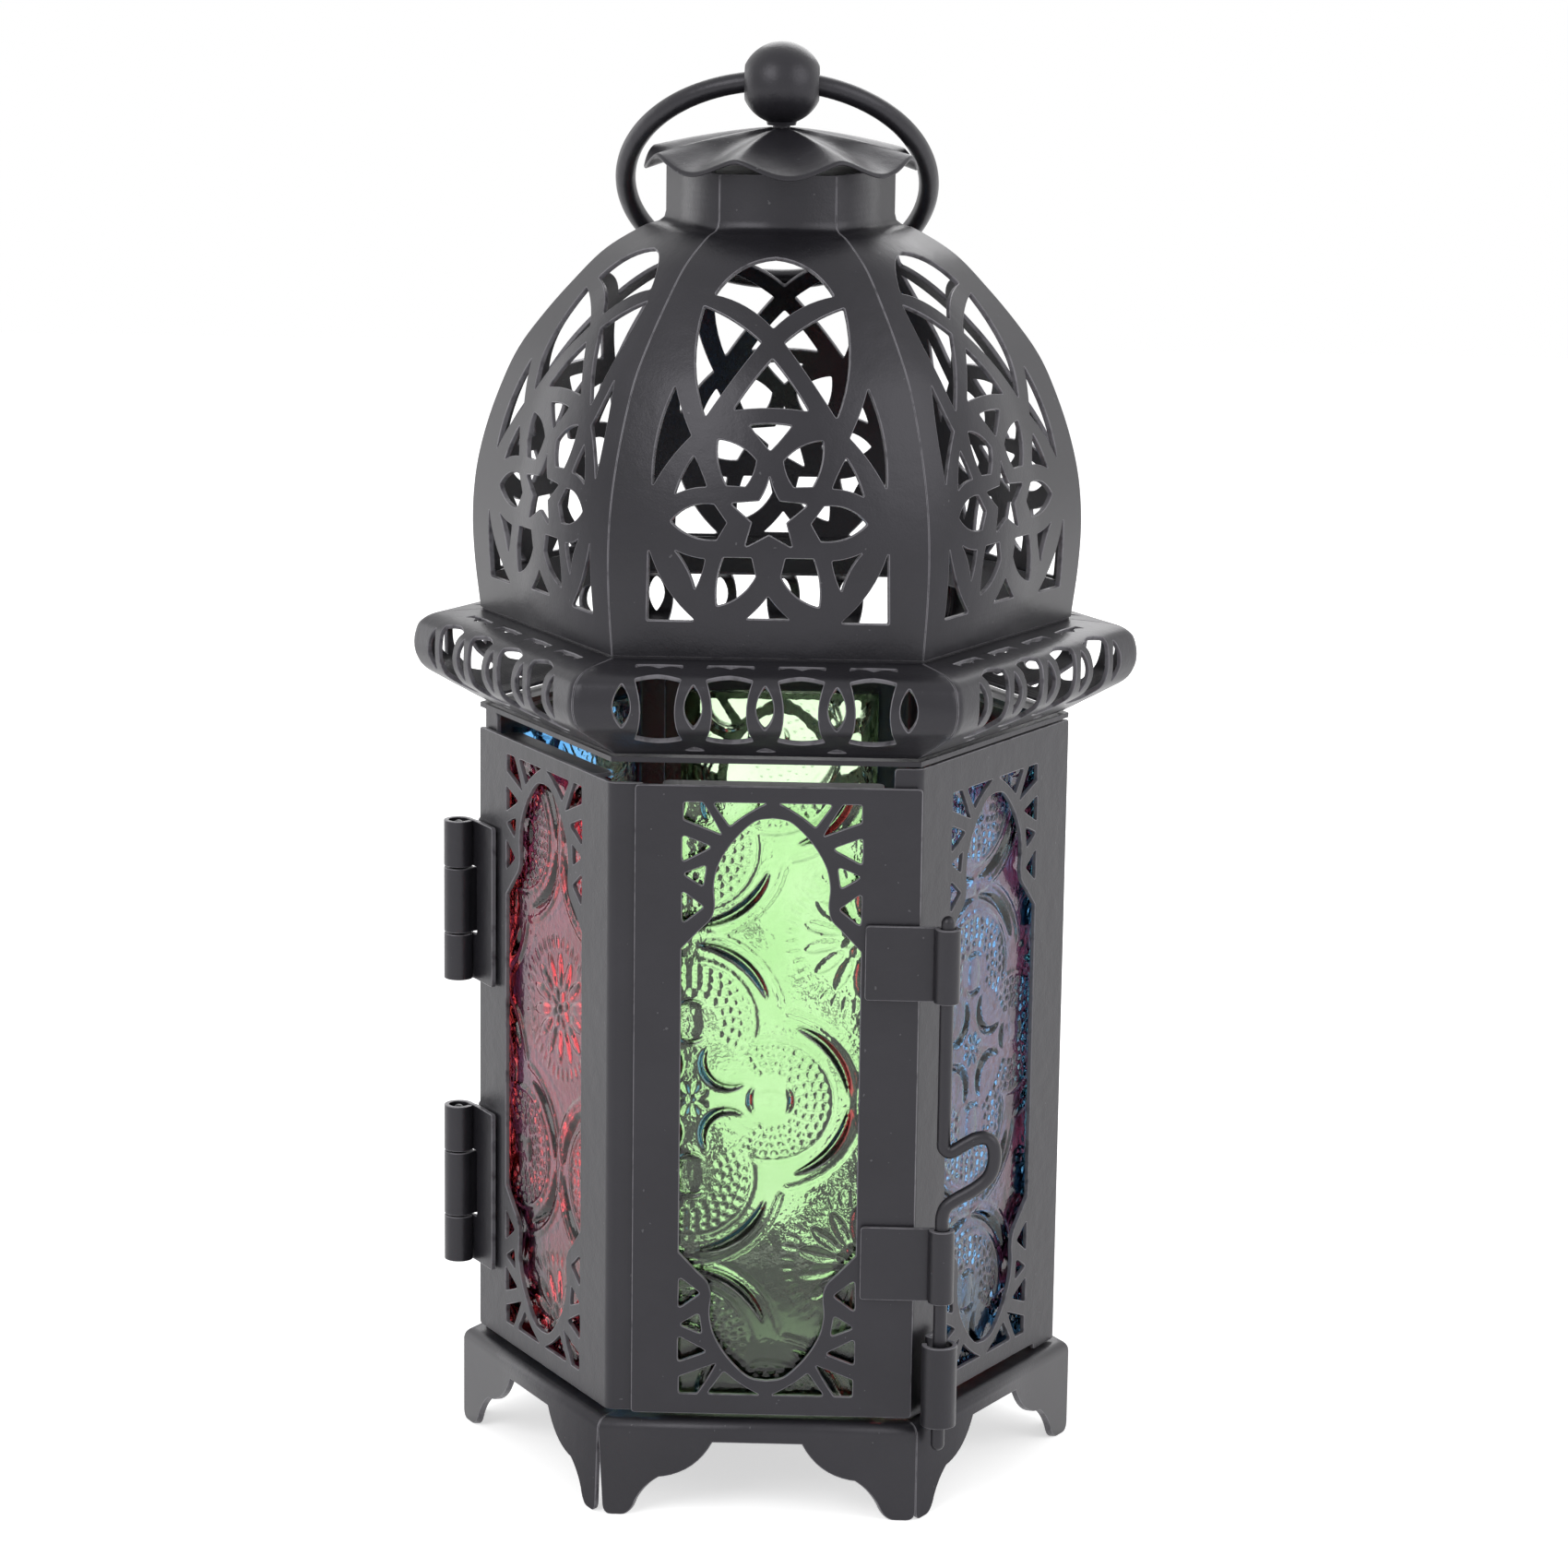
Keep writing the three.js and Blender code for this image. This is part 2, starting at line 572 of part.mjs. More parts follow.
function galleryCuts() {
  const through = (shape) => frontal(shape, -2 * GALLERY_CORNER, 0);
  const eye = through(eyeCut());
  const slit = through(slitCut());
  const slot = through(slotCut());
  const circle = through(circleCut());
  const cuts = [];
  for (let k = -2; k <= 2; k++) {
    cuts.push(eye.translate([k * CIRCLE_PITCH, 0, 0]));
    if (Math.abs(k) < 2) cuts.push(slit.translate([k * CIRCLE_PITCH, 0, 0]));
  }
  for (let k = -1.5; k <= 1.5; k++) {
    cuts.push(circle.translate([k * CIRCLE_PITCH, 0, 0]));
    cuts.push(slot.translate([k * CIRCLE_PITCH, 0, 0]));
  }
  return union(cuts).translate([0, 0, GALLERY_BOTTOM]);
}

function galleryBand() {
  return alongSide(sheetSection(gallerySection(), SHEET), GALLERY_CORNER)
    .intersect(frontWedge(GALLERY_BOTTOM - 2, DOME_BOTTOM + 2))
    .subtract(galleryCuts());
}

// Dome

// Section points as [share of the way from neck to belly, share of the dome's height]
function domeSection() {
  const shares = [
    [0.99, 0.107], [1, 0.225], [0.981, 0.343], [0.927, 0.46], [0.844, 0.576], [0.759, 0.665],
    [0.635, 0.751], [0.486, 0.838], [0.317, 0.924], [0.127, 0.984], [0.04, 1],
  ];
  const corners = [[DOME_FOOT_CORNER, DOME_BOTTOM]];
  for (const [out, up] of shares) {
    corners.push([NECK_CORNER + out * (DOME_CORNER - NECK_CORNER), DOME_BOTTOM + up * DOME_HEIGHT]);
  }
  corners.push([NECK_CORNER, DOME_TOP + 2.4], [NECK_CORNER, NECK_TOP]);
  return corners.map(([radius, z]) => [radius * COS30, z]);
}

// Petal openings as (x, height above the dome's foot), drawn on a dome 50 wide to a corner and 61.8 high
const PATTERN_CORNER = 50;
const PATTERN_HEIGHT = 61.8;

function middleOpenings() {
  return [
    [[8.9, 53.3], [5.4, 56.8], [0, 58.3], [-5.4, 56.8], [-8.9, 53.3], [0, 48.8]],
    [[0, 43.7], [5.4, 36.8], [0, 37.4], [-5.4, 36.8]],
    [[2.9, 34.1], [0, 31], [-2.9, 34.1]],
    [[0, 26.2], [1.45, 22.7], [5.6, 22.5], [2.4, 19.8], [3.4, 16.3], [0, 18.2],
      [-3.4, 16.3], [-2.4, 19.8], [-5.6, 22.5], [-1.45, 22.7]],
    [[0, 7.8], [3, 4.8], [-3, 4.8]],
  ];
}

function rightOpenings() {
  return [
    [[10.6, 51], [11.7, 43.9], [10, 35.9], [6.5, 40.6], [2, 46.4]],
    [[14.8, 39.6], [16.7, 35.2], [18.2, 29.2], [17.8, 25.4], [12.6, 32.7]],
    [[7.8, 31.6], [7.6, 28.4], [6.6, 25.7], [3.9, 25.4], [2.5, 29.1], [5, 31]],
    [[14.8, 19.6], [11.8, 21.8], [8.7, 21.9], [6.9, 19.6], [8.3, 17.3], [12.4, 17.5]],
    [[6.6, 13.9], [8.3, 10], [7.6, 6.9], [2.3, 11.4], [2.8, 13.9]],
    [[11.7, 29.2], [10.1, 25.2], [14.2, 24.2]],
    [[14.1, 14.9], [10.2, 13.8], [11.3, 9.7]],
    [[18.5, 15.1], [18.6, 4.3], [11.7, 4.3], [15.4, 8.6]],
  ];
}

function petalCuts() {
  const right = rightOpenings();
  const all = [...middleOpenings(), ...right, ...right.map(mirrorPoints)];
  const wide = DOME_CORNER / PATTERN_CORNER;
  const high = DOME_HEIGHT / PATTERN_HEIGHT;
  const shapes = all.map((points) => outline(points.map(([x, z]) => [x * wide, z * high])));
  return union(shapes.map((shape) => frontal(shape, -2 * DOME_CORNER, -1))).translate([0, 0, DOME_BOTTOM]);
}

function petal() {
  return alongSide(sheetSection(domeSection(), SHEET), DOME_CORNER)
    .intersect(frontWedge(DOME_BOTTOM - 2, NECK_TOP + 2))
    .subtract(petalCuts());
}

// Hidden rings that join the sides, and the collar under the cap

function bodyRing() {
  const bottom = PANEL_TOP + SEAT_GAP;
  return hexTube(BODY_APOTHEM - 0.1, BODY_APOTHEM - 5, bottom, GALLERY_BOTTOM - SEAT_GAP);
}

function domeRing() {
  const outer = DOME_FOOT_CORNER * COS30 - SHEET - SEAT_GAP;
  return hexTube(outer, outer - SHEET, DOME_BOTTOM - FOOT_RING_BELOW, DOME_BOTTOM + FOOT_RING_ABOVE);
}

function neckCollar() {
  const outer = NECK_CORNER * COS30 - SHEET - SEAT_GAP;
  return hexTube(outer, outer - SHEET, NECK_TOP - COLLAR_HEIGHT, NECK_TOP)
    .add(hexagon(outer - SHEET / 2, NECK_TOP - SHEET, NECK_TOP))
    .subtract(post(SCREW_RADIUS + SEAT_GAP, 0, 0, NECK_TOP - 2, NECK_TOP + 1));
}

// Cap, finial and ring

function capTop(x, y) {
  const turn = Math.atan2(y, x) + Math.PI / 2 - THREE.MathUtils.degToRad(CAP_TURN);
  return CAP_TOP - Math.hypot(x, y) / CAP_RADIUS * (CAP_FALL + CAP_FLUTE_DEPTH * Math.cos(CAP_FLUTES * turn));
}

function cap() {
  const hole = SCREW_RADIUS + SEAT_GAP;
  const profile = [[hole, -SHEET], [CAP_RADIUS, -SHEET], [CAP_RADIUS, 0], [hole, 0], [hole, -SHEET]];
  const points = profile.map(([r, z]) => new THREE.Vector2(r, z));
  const disc = new THREE.LatheGeometry(points, 6 * CAP_FLUTES).rotateX(Math.PI / 2);
  const position = disc.attributes.position;
  for (let i = 0; i < position.count; i++) {
    position.setZ(i, position.getZ(i) + capTop(position.getX(i), position.getY(i)));
  }
  return toManifold(disc);
}

function finialBall() {
  const ball = toManifold(new THREE.SphereGeometry(BALL_RADIUS, 18, 10).translate(0, 0, BALL_HEIGHT));
  const stem = post(STEM_RADIUS, 0, 0, CAP_TOP + SEAT_GAP, BALL_HEIGHT - BALL_HOLE_RADIUS - 1);
  const across = new THREE.CylinderGeometry(BALL_HOLE_RADIUS, BALL_HOLE_RADIUS, 3 * BALL_RADIUS, 16);
  const screwTop = BALL_HEIGHT - BALL_HOLE_RADIUS - 1.2;
  return ball.add(stem)
    .subtract(toManifold(across.rotateZ(Math.PI / 2).translate(0, 0, BALL_HEIGHT)))
    .subtract(post(SCREW_RADIUS + SEAT_GAP, 0, 0, CAP_TOP - 1, screwTop));
}

function finialScrew() {
  const under = NECK_TOP - SHEET - SEAT_GAP;
  return post(SCREW_RADIUS, 0, 0, under - 1, BALL_HEIGHT - BALL_HOLE_RADIUS - 1.2 - SEAT_GAP)
    .add(post(SCREW_HEAD_RADIUS, 0, 0, under - 1.8, under));
}

function carryingRing() {
  const lean = THREE.MathUtils.degToRad(RING_LEAN);
  const turn = THREE.MathUtils.degToRad(RING_TURN);
  const ring = new THREE.TorusGeometry(RING_RADIUS, RING_WIRE_RADIUS, 8, 36);
  ring.translate(0, RING_SETBACK - RING_RADIUS, 0).rotateZ(-turn).rotateX(Math.PI / 2 + lean);
  return toManifold(ring.translate(0, 0, BALL_HEIGHT));
}

// Assembly

const lantern = new THREE.Group();

function place(name, solid, look, side = 0) {
  const mesh = new THREE.Mesh(toGeometry(solid), new THREE.MeshStandardMaterial(look));
  mesh.name = name;
  mesh.rotation.z = side * Math.PI / 3;
  lantern.add(mesh);
}

place('base_pan', basePan(), BLACK);
place('candle_cup', candleCup(), BLACK);

panels().forEach((solid, side) => place(`panel_${SIDES[side]}`, solid, BLACK, side));
SIDES.forEach((name, side) => {
  const front = side === 0;
  place(`pane_${name}`, pane(front ? DOOR_FRONT : BODY_APOTHEM, front ? FRONT_WINDOW_X : 0), GLASS[side], side);
});

for (const [level, height] of Object.entries(HINGE_HEIGHTS)) {
  place(`hinge_${level}_door_leaf`, hingeLeaf(-1, false, height), BLACK, 5);
  place(`hinge_${level}_body_leaf`, hingeLeaf(1, true, height), BLACK, 4);
  place(`hinge_${level}_pin`, hingePin(height), BLACK);
}

for (const [level, height] of Object.entries(LATCH_STRAPS)) {
  place(`latch_${level}_strap`, latchStrap(height), BLACK);
}
place('latch_keeper', keeper(), BLACK);
place('latch_bolt', latchBolt(), BLACK);

place('body_top_ring', bodyRing(), BLACK);
place('dome_foot_ring', domeRing(), BLACK);
const band = galleryBand();
const leaf = petal();
SIDES.forEach((name, side) => {
  place(`gallery_${name}`, band, BLACK, side);
  place(`dome_petal_${name}`, leaf, BLACK, side);
});

place('neck_collar', neckCollar(), BLACK);
place('cap', cap(), BLACK);
place('finial_ball', finialBall(), BLACK);
place('finial_screw', finialScrew(), BLACK);
place('carrying_ring', carryingRing(), BLACK);

export default lantern;
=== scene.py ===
"""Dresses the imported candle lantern: pierced black sheet, pressed glass, bolt latch and carrying ring."""

import json
import math

import bpy
import numpy as np
from mathutils import Matrix, Vector

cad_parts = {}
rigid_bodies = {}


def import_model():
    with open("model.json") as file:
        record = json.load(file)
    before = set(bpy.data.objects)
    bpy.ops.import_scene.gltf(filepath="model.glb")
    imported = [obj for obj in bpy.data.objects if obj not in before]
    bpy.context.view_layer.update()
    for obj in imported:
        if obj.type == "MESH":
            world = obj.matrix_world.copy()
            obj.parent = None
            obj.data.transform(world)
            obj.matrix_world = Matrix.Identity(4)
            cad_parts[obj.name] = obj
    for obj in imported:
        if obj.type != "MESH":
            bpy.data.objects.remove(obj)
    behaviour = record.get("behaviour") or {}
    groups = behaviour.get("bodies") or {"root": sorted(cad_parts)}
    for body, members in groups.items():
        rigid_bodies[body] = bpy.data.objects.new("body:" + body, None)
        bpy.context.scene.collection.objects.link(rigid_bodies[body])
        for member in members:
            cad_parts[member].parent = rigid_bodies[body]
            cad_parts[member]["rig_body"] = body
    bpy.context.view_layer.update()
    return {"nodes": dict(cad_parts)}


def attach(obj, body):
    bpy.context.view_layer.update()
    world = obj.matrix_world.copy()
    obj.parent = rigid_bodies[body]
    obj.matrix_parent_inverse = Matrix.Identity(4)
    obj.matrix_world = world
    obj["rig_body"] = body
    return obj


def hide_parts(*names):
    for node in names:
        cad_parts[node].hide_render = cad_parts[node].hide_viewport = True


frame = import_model()

bl_info = {
    "name": "Candle lantern",
    "version": (1, 0, 0),
    "blender": (4, 5, 0),
    "location": "3D View > Sidebar > Lantern",
    "description": "Builds the visible pieces of a hexagonal candle lantern round its packed frame",
    "category": "Object",
}

MM = 0.001
TAN30 = math.tan(math.pi / 6)
COS30 = math.cos(math.pi / 6)
SIDES = ["front", "right_front", "right_back", "back", "left_back", "left_front"]
GLASS = ["green_glass", "blue_glass", "red_glass", "green_glass", "blue_glass", "red_glass"]
NODE_BODY = {name: node["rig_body"] for name, node in frame["nodes"].items()}


# Sizes and colours that a user would change

def length(title, text, millimetres):
    return bpy.props.FloatProperty(
        name=title, description=text, default=millimetres * MM, unit="LENGTH", precision=5)


def tint(title, text, colour):
    return bpy.props.FloatVectorProperty(
        name=title, description=text, default=colour, size=3, min=0, max=1, subtype="COLOR")


class LanternSizes(bpy.types.PropertyGroup):
    sheet: length("Sheet", "Thickness of the black sheet", 0.8)
    rim: length("Rim", "Width of the worn chamfer on cut edges", 0.16)
    seam: length("Seam", "Gap between two sheets that meet at a corner", 0.05)
    play: length("Play", "Gap between pieces that lie on each other or turn", 0.3)
    base_apothem: length("Base apothem", "From the axis to a side of the base", 44.4)
    base_height: length("Base height", "From the feet to the floor of the lantern", 16)
    cup_radius: length("Cup radius", "Outer radius of the candle cup", 21)
    cup_height: length("Cup height", "Height of the candle cup", 6)
    body_apothem: length("Body apothem", "From the axis to the outer face of a fixed panel", 42)
    pane_grain: length("Pane grain", "Spacing of the glass relief's points", 0.25)
    relief: length("Glass relief", "Height of the tallest bead of the pressed pattern", 0.45)
    gallery_round: length("Gallery rounding", "Plan radius of the gallery's corners", 2.6)
    cap_radius: length("Cap radius", "Outer radius of the fluted cap", 22)
    ball_radius: length("Ball radius", "Radius of the finial ball", 6.59)
    ring_radius: length("Ring radius", "From the ring's centre to the middle of its wire", 24.9)
    ring_wire: length("Ring wire", "Radius of the ring's wire", 1.65)


class LanternColours(bpy.types.PropertyGroup):
    coat: tint("Coat", "Colour of the black powder coat", (0.0115, 0.011, 0.0135))
    coat_light: tint("Coat, light", "Paler patches of the coat", (0.018, 0.0172, 0.021))
    # The cut edge colour is partly real wear and partly a painted highlight on the sheet's rims
    edge_wear_and_highlight: tint("Cut edge", "Colour of the worn cut edges", (0.16, 0.155, 0.17))
    green: tint("Green glass", "Light that passes the green glass", (0.645, 0.82, 0.57))
    blue: tint("Blue glass", "Light that passes the blue glass", (0.15, 0.41, 0.72))
    red: tint("Red glass", "Light that passes the red glass", (0.72, 0.07, 0.09))
    floor: tint("Floor", "Colour of the studio floor", (0.9, 0.9, 0.9))


def mm(name):
    """A size of the lantern in millimetres."""
    return getattr(bpy.context.scene.lantern_sizes, name) / MM


def colour(name):
    return tuple(getattr(bpy.context.scene.lantern_colours, name)) + (1,)


# Node materials

class Wire:
    """An output socket that can be used in arithmetic."""

    def __init__(self, finish, socket):
        self.finish = finish
        self.socket = socket

    def __add__(self, other):
        return self.finish.sum_node("ADD", self, other)

    __radd__ = __add__

    def __sub__(self, other):
        return self.finish.sum_node("SUBTRACT", self, other)

    def __mul__(self, other):
        return self.finish.sum_node("MULTIPLY", self, other)

    __rmul__ = __mul__


class Finish:
    """The nodes of a material or world under construction, with one method that makes any node."""

    def __init__(self, owner):
        owner.use_nodes = True
        self.owner = owner
        self.tree = owner.node_tree
        self.tree.nodes.clear()

    def node(self, kind, settings=None, inputs=None, output=0):
        made = self.tree.nodes.new(kind)
        for key, value in (settings or {}).items():
            setattr(made, key, value)
        for key, value in (inputs or {}).items():
            if isinstance(value, Wire):
                self.tree.links.new(value.socket, made.inputs[key])
            else:
                made.inputs[key].default_value = value
        return Wire(self, made.outputs[output])

    def noise(self, scale, detail=3, roughness=0.5):
        place = self.node("ShaderNodeTexCoord", output="Object")
        return self.node("ShaderNodeTexNoise", None, {
            "Vector": place, "Scale": scale, "Detail": detail, "Roughness": roughness})

    def step(self, value, low, high):
        """The share of the way that a value is from low to high, held between 0 and 1."""
        return self.node("ShaderNodeMapRange", {"clamp": True}, {0: value, 1: low, 2: high})

    def blend(self, share, first, second):
        return self.node("ShaderNodeMix", {"data_type": "RGBA"}, {0: share, 6: first, 7: second}, output=2)

    def seen(self):
        """1 on rays from the camera, also by way of gloss or glass, and 0 on the rest."""
        most = self.node("ShaderNodeLightPath", output="Is Camera Ray")
        for way in ("Is Glossy Ray", "Is Transmission Ray"):
            most = self.sum_node("MAXIMUM", most, self.node("ShaderNodeLightPath", output=way))
        return most

    def sum_node(self, operation, first, second):
        return self.node("ShaderNodeMath", {"operation": operation}, {0: first, 1: second})

    def surface(self, inputs):
        self.end_with(self.node("ShaderNodeBsdfPrincipled", None, inputs))
        return self.owner

    def end_with(self, shader, kind="ShaderNodeOutputMaterial"):
        sink = self.tree.nodes.new(kind)
        self.tree.links.new(shader.socket, sink.inputs["Surface"])


def powder_coat():
    """Satin black coat: fine orange peel, faint patches, dust specks and paler cut edges, partly worn and
    partly a painted highlight.
    """
    finish = Finish(bpy.data.materials.new("black_steel_coat"))
    patches = finish.noise(55, 4, 0.6)
    peel = finish.noise(2600, 2, 0.55)
    swell = finish.noise(260, 2, 0.5)
    dust = finish.step(finish.noise(1100, 1, 0.4), 0.79, 0.81)
    rim = finish.node("ShaderNodeAttribute", {"attribute_name": "rim"}, output="Fac")
    # Paler cut edges: partly wear, partly a painted highlight standing in for the light that the rims catch
    worn = rim * finish.step(finish.noise(420, 3, 0.6), 0.2, 0.5)
    base = finish.blend(finish.step(patches, 0.35, 0.7), colour("coat"), colour("coat_light"))
    base = finish.blend(worn, base, colour("edge_wear_and_highlight"))
    base = finish.blend(dust * 0.35, base, (0.16, 0.16, 0.17, 1))
    fine = finish.node("ShaderNodeBump", None, {"Strength": 0.22, "Distance": 0.00012, "Height": peel})
    normal = finish.node("ShaderNodeBump", None, {
        "Strength": 0.25, "Distance": 0.0004, "Height": swell, "Normal": fine})
    rough = 0.31 + 0.10 * patches - 0.05 * worn
    return finish.surface({
        "Base Color": base, "Roughness": rough, "Normal": normal, "Specular IOR Level": 0.44,
        "Specular Tint": (0.95, 0.93, 1.0, 1), "IOR": 1.5})


def pressed_glass(slot):
    """Pressed glass tinted right through, with faint flow marks, a soft skin and painted shade where the
    relief slopes sharply.
    """
    name = slot.split("_")[0]
    finish = Finish(bpy.data.materials.new(slot + "_pressed"))
    tone = colour(name)
    deep = tuple(channel ** 1.35 for channel in tone[:3]) + (1,)
    flow = finish.noise(90, 3, 0.5)
    ripple = finish.noise(700, 2, 0.5)
    base = finish.blend(finish.step(flow, 0.35, 0.7), tone, deep)
    # Painted shade: where the relief slopes sharply the colour goes near black, standing in for the dark
    # refraction that the glass alone renders too light
    steep = finish.node("ShaderNodeAttribute", {"attribute_name": "steep"}, output="Fac")
    base = finish.blend(steep, base, tuple(0.03 * channel for channel in tone[:3]) + (1,))
    normal = finish.node("ShaderNodeBump", None, {"Strength": 0.3, "Distance": 0.0003, "Height": ripple})
    return finish.surface({
        "Base Color": base, "Roughness": 0.04 + 0.05 * flow, "Normal": normal,
        "Transmission Weight": 1.0, "IOR": 1.5})


def finish_for(slot):
    if slot == "black_steel":
        return bpy.data.materials.get("black_steel_coat") or powder_coat()
    return bpy.data.materials.get(slot + "_pressed") or pressed_glass(slot)


# Mesh helpers

MERGE = 0.0005


def clear_choice():
    if bpy.context.object and bpy.context.object.mode != "OBJECT":
        bpy.ops.object.mode_set(mode="OBJECT")
    bpy.ops.object.select_all(action="DESELECT")


def choose(piece):
    clear_choice()
    piece.select_set(True)
    bpy.context.view_layer.objects.active = piece


def values(items, name, kind=float, width=1):
    """One property of all vertices, faces or corners of a mesh."""
    flat = np.empty(width * len(items), kind)
    items.foreach_get(name, flat)
    return flat


def points_of(piece):
    return values(piece.data.vertices, "co", width=3).reshape(-1, 3)


def face_normals(piece):
    return values(piece.data.polygons, "normal", width=3).reshape(-1, 3)


def move_points(piece, points):
    piece.data.vertices.foreach_set("co", np.ascontiguousarray(points).ravel())
    piece.data.update()


def turned(points, side):
    """Points of the front side turned on to another side."""
    c, s = math.cos(side * math.pi / 3), math.sin(side * math.pi / 3)
    return points @ np.array([[c, s, 0], [-s, c, 0], [0, 0, 1]])


def joined(pieces):
    choose(pieces[0])
    for piece in pieces[1:]:
        piece.select_set(True)
    bpy.ops.object.join()
    return pieces[0]


def settle(piece, node, slot="black_steel", angle=None):
    """Name a finished piece, dress it, and let it ride where its CAD node rides.

    Where an angle is given, edges that turn by less are shaded smooth."""
    if angle is not None:
        choose(piece)
        bpy.ops.object.shade_smooth_by_angle(angle=math.radians(angle))
    piece.name = node + ".look"
    piece.data.name = piece.name
    piece.data.materials.clear()
    piece.data.materials.append(finish_for(slot))
    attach(piece, NODE_BODY[node])
    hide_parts(node)


# Lines and outlines, in millimetres

def arc_between(start, end, bulge, steps=8):
    """Points from start up to, but not with, end, on an arc that stands out by bulge to the right."""
    start, end = np.array(start, float), np.array(end, float)
    if abs(bulge) < 1e-3:
        return [start]
    chord = end - start
    side = np.array([chord[1], -chord[0]]) / np.hypot(*chord)
    share = np.linspace(0, 1, steps, endpoint=False)
    rise = 4 * bulge * share * (1 - share)
    return [start + chord * t + side * r for t, r in zip(share, rise)]


def turning(points):
    """Twice the signed area of a closed outline."""
    x, y = np.array(points, float).T
    return float(np.sum(x * np.roll(y, -1) - np.roll(x, -1) * y))


def anticlockwise(corners):
    """A closed outline (x, y, bulge of the next edge), turned round if it runs clockwise."""
    corners = [tuple(corner) + (0,) * (3 - len(corner)) for corner in corners]
    if turning([corner[:2] for corner in corners]) > 0:
        return corners
    count = len(corners)
    return [(*corners[-i - 1][:2], corners[(-i - 2) % count][2]) for i in range(count)]


def outline(corners, radius=0.45):
    """A closed outline from corners (x, y, bulge of the next edge outwards), with softened corners."""
    corners = anticlockwise(corners)
    line = []
    for i, corner in enumerate(corners):
        after = corners[(i + 1) % len(corners)]
        line += arc_between(corner[:2], after[:2], corner[2])
    return soften(line, radius)


def quad(start, control, end, steps=8):
    """Points after start, up to end, on a curve that is drawn towards control."""
    start, control, end = (np.array(point, float) for point in (start, control, end))
    return [tuple((1 - t) ** 2 * start + 2 * t * (1 - t) * control + t * t * end)
            for t in np.linspace(0, 1, steps + 1)[1:]]


def soften(line, radius, steps=3):
    """Round every sharp turn of a closed line."""
    line = [np.array(point, float) for point in line]
    result = []
    for i, here in enumerate(line):
        before, after = line[i - 1] - here, line[(i + 1) % len(line)] - here
        near, far = np.hypot(*before), np.hypot(*after)
        cosine = float(before @ after / (near * far))
        if cosine < -0.85:
            result.append(here)
            continue
        half = math.acos(max(-1, min(1, cosine))) / 2
        back = min(radius / math.tan(half), 0.45 * near, 0.45 * far)
        first, last = here + before / near * back, here + after / far * back
        result += [first] + quad(first, here, last, steps)
    return result


def flowing(points, steps=6):
    """A smooth open line through points."""
    points = np.array(points, float)
    padded = np.vstack([2 * points[0] - points[1], points, 2 * points[-1] - points[-2]])
    line = []
    for i in range(1, len(padded) - 2):
        p0, p1, p2, p3 = padded[i - 1:i + 3]
        for t in np.linspace(0, 1, steps, endpoint=False):
            line.append(0.5 * (2 * p1 + (p2 - p0) * t + (2 * p0 - 5 * p1 + 4 * p2 - p3) * t ** 2
                               + (3 * p1 - p0 - 3 * p2 + p3) * t ** 3))
    line.append(points[-1])
    return np.array(line)


def rounded_line(corners, radii, steps=8):
    """An open line through corners, each turned on an arc of its radius."""
    corners = [np.array(corner, float) for corner in corners]
    line = [corners[0]]
    for i in range(1, len(corners) - 1):
        here, radius = corners[i], radii[i - 1]
        before, after = corners[i - 1] - here, corners[i + 1] - here
        before, after = before / np.hypot(*before), after / np.hypot(*after)
        half = math.acos(max(-1, min(1, float(before @ after)))) / 2
        back = radius / math.tan(half)
        bisector = (before + after) / np.hypot(*(before + after))
        centre = here + bisector * radius / math.sin(half)
        first, last = here + before * back, here + after * back
        line.append(first + before * 0.02)
        start, end = first - centre, last - centre
        sweep = math.atan2(start[0] * end[1] - start[1] * end[0], start @ end)
        for t in np.linspace(0, 1, steps + 1):
            c, s = math.cos(sweep * t), math.sin(sweep * t)
            line.append(centre + np.array([c * start[0] - s * start[1], s * start[0] + c * start[1]]))
        line.append(last + after * 0.02)
    line.append(corners[-1])
    return np.array(line)


def on_circle(centre, radius, angles):
    return [(centre[0] + radius * math.cos(a), centre[1] + radius * math.sin(a)) for a in angles]


def rectangle(left, low, right, high):
    return [(left, low), (right, low), (right, high), (left, high)]


def mirrored(points):
    return [(-point[0],) + tuple(point[1:]) for point in points]


class Track:
    """A line that a sheet follows: its outer face runs on it, and depth is measured to the inside."""

    def __init__(self, points, zero_at=None):
        self.points = np.array(points, float)
        steps = np.diff(self.points, axis=0)
        self.run = np.concatenate([[0], np.cumsum(np.hypot(*steps.T))])
        if zero_at is not None:
            nearest = int(np.argmin(np.hypot(*(self.points - np.array(zero_at, float)).T)))
            self.run = self.run - self.run[nearest]
        tangent = np.gradient(self.points, self.run, axis=0)
        tangent /= np.hypot(*tangent.T)[:, None]
        self.normal = np.stack([tangent[:, 1], -tangent[:, 0]], axis=1)

    def at(self, run, depth):
        base = [np.interp(run, self.run, self.points[:, k]) for k in (0, 1)]
        out = [np.interp(run, self.run, self.normal[:, k]) for k in (0, 1)]
        size = np.hypot(*out)
        return base[0] - depth * out[0] / size, base[1] - depth * out[1] / size

    def run_at_height(self, height):
        return np.interp(height, self.points[:, 1], self.run)

    def bends(self):
        """The runs at which the line turns."""
        turn = np.abs(np.diff(np.unwrap(np.arctan2(self.normal[:, 1], self.normal[:, 0]))))
        keep = np.concatenate([[0], turn]) + np.concatenate([turn, [0]]) > 1e-4
        return self.run[keep]


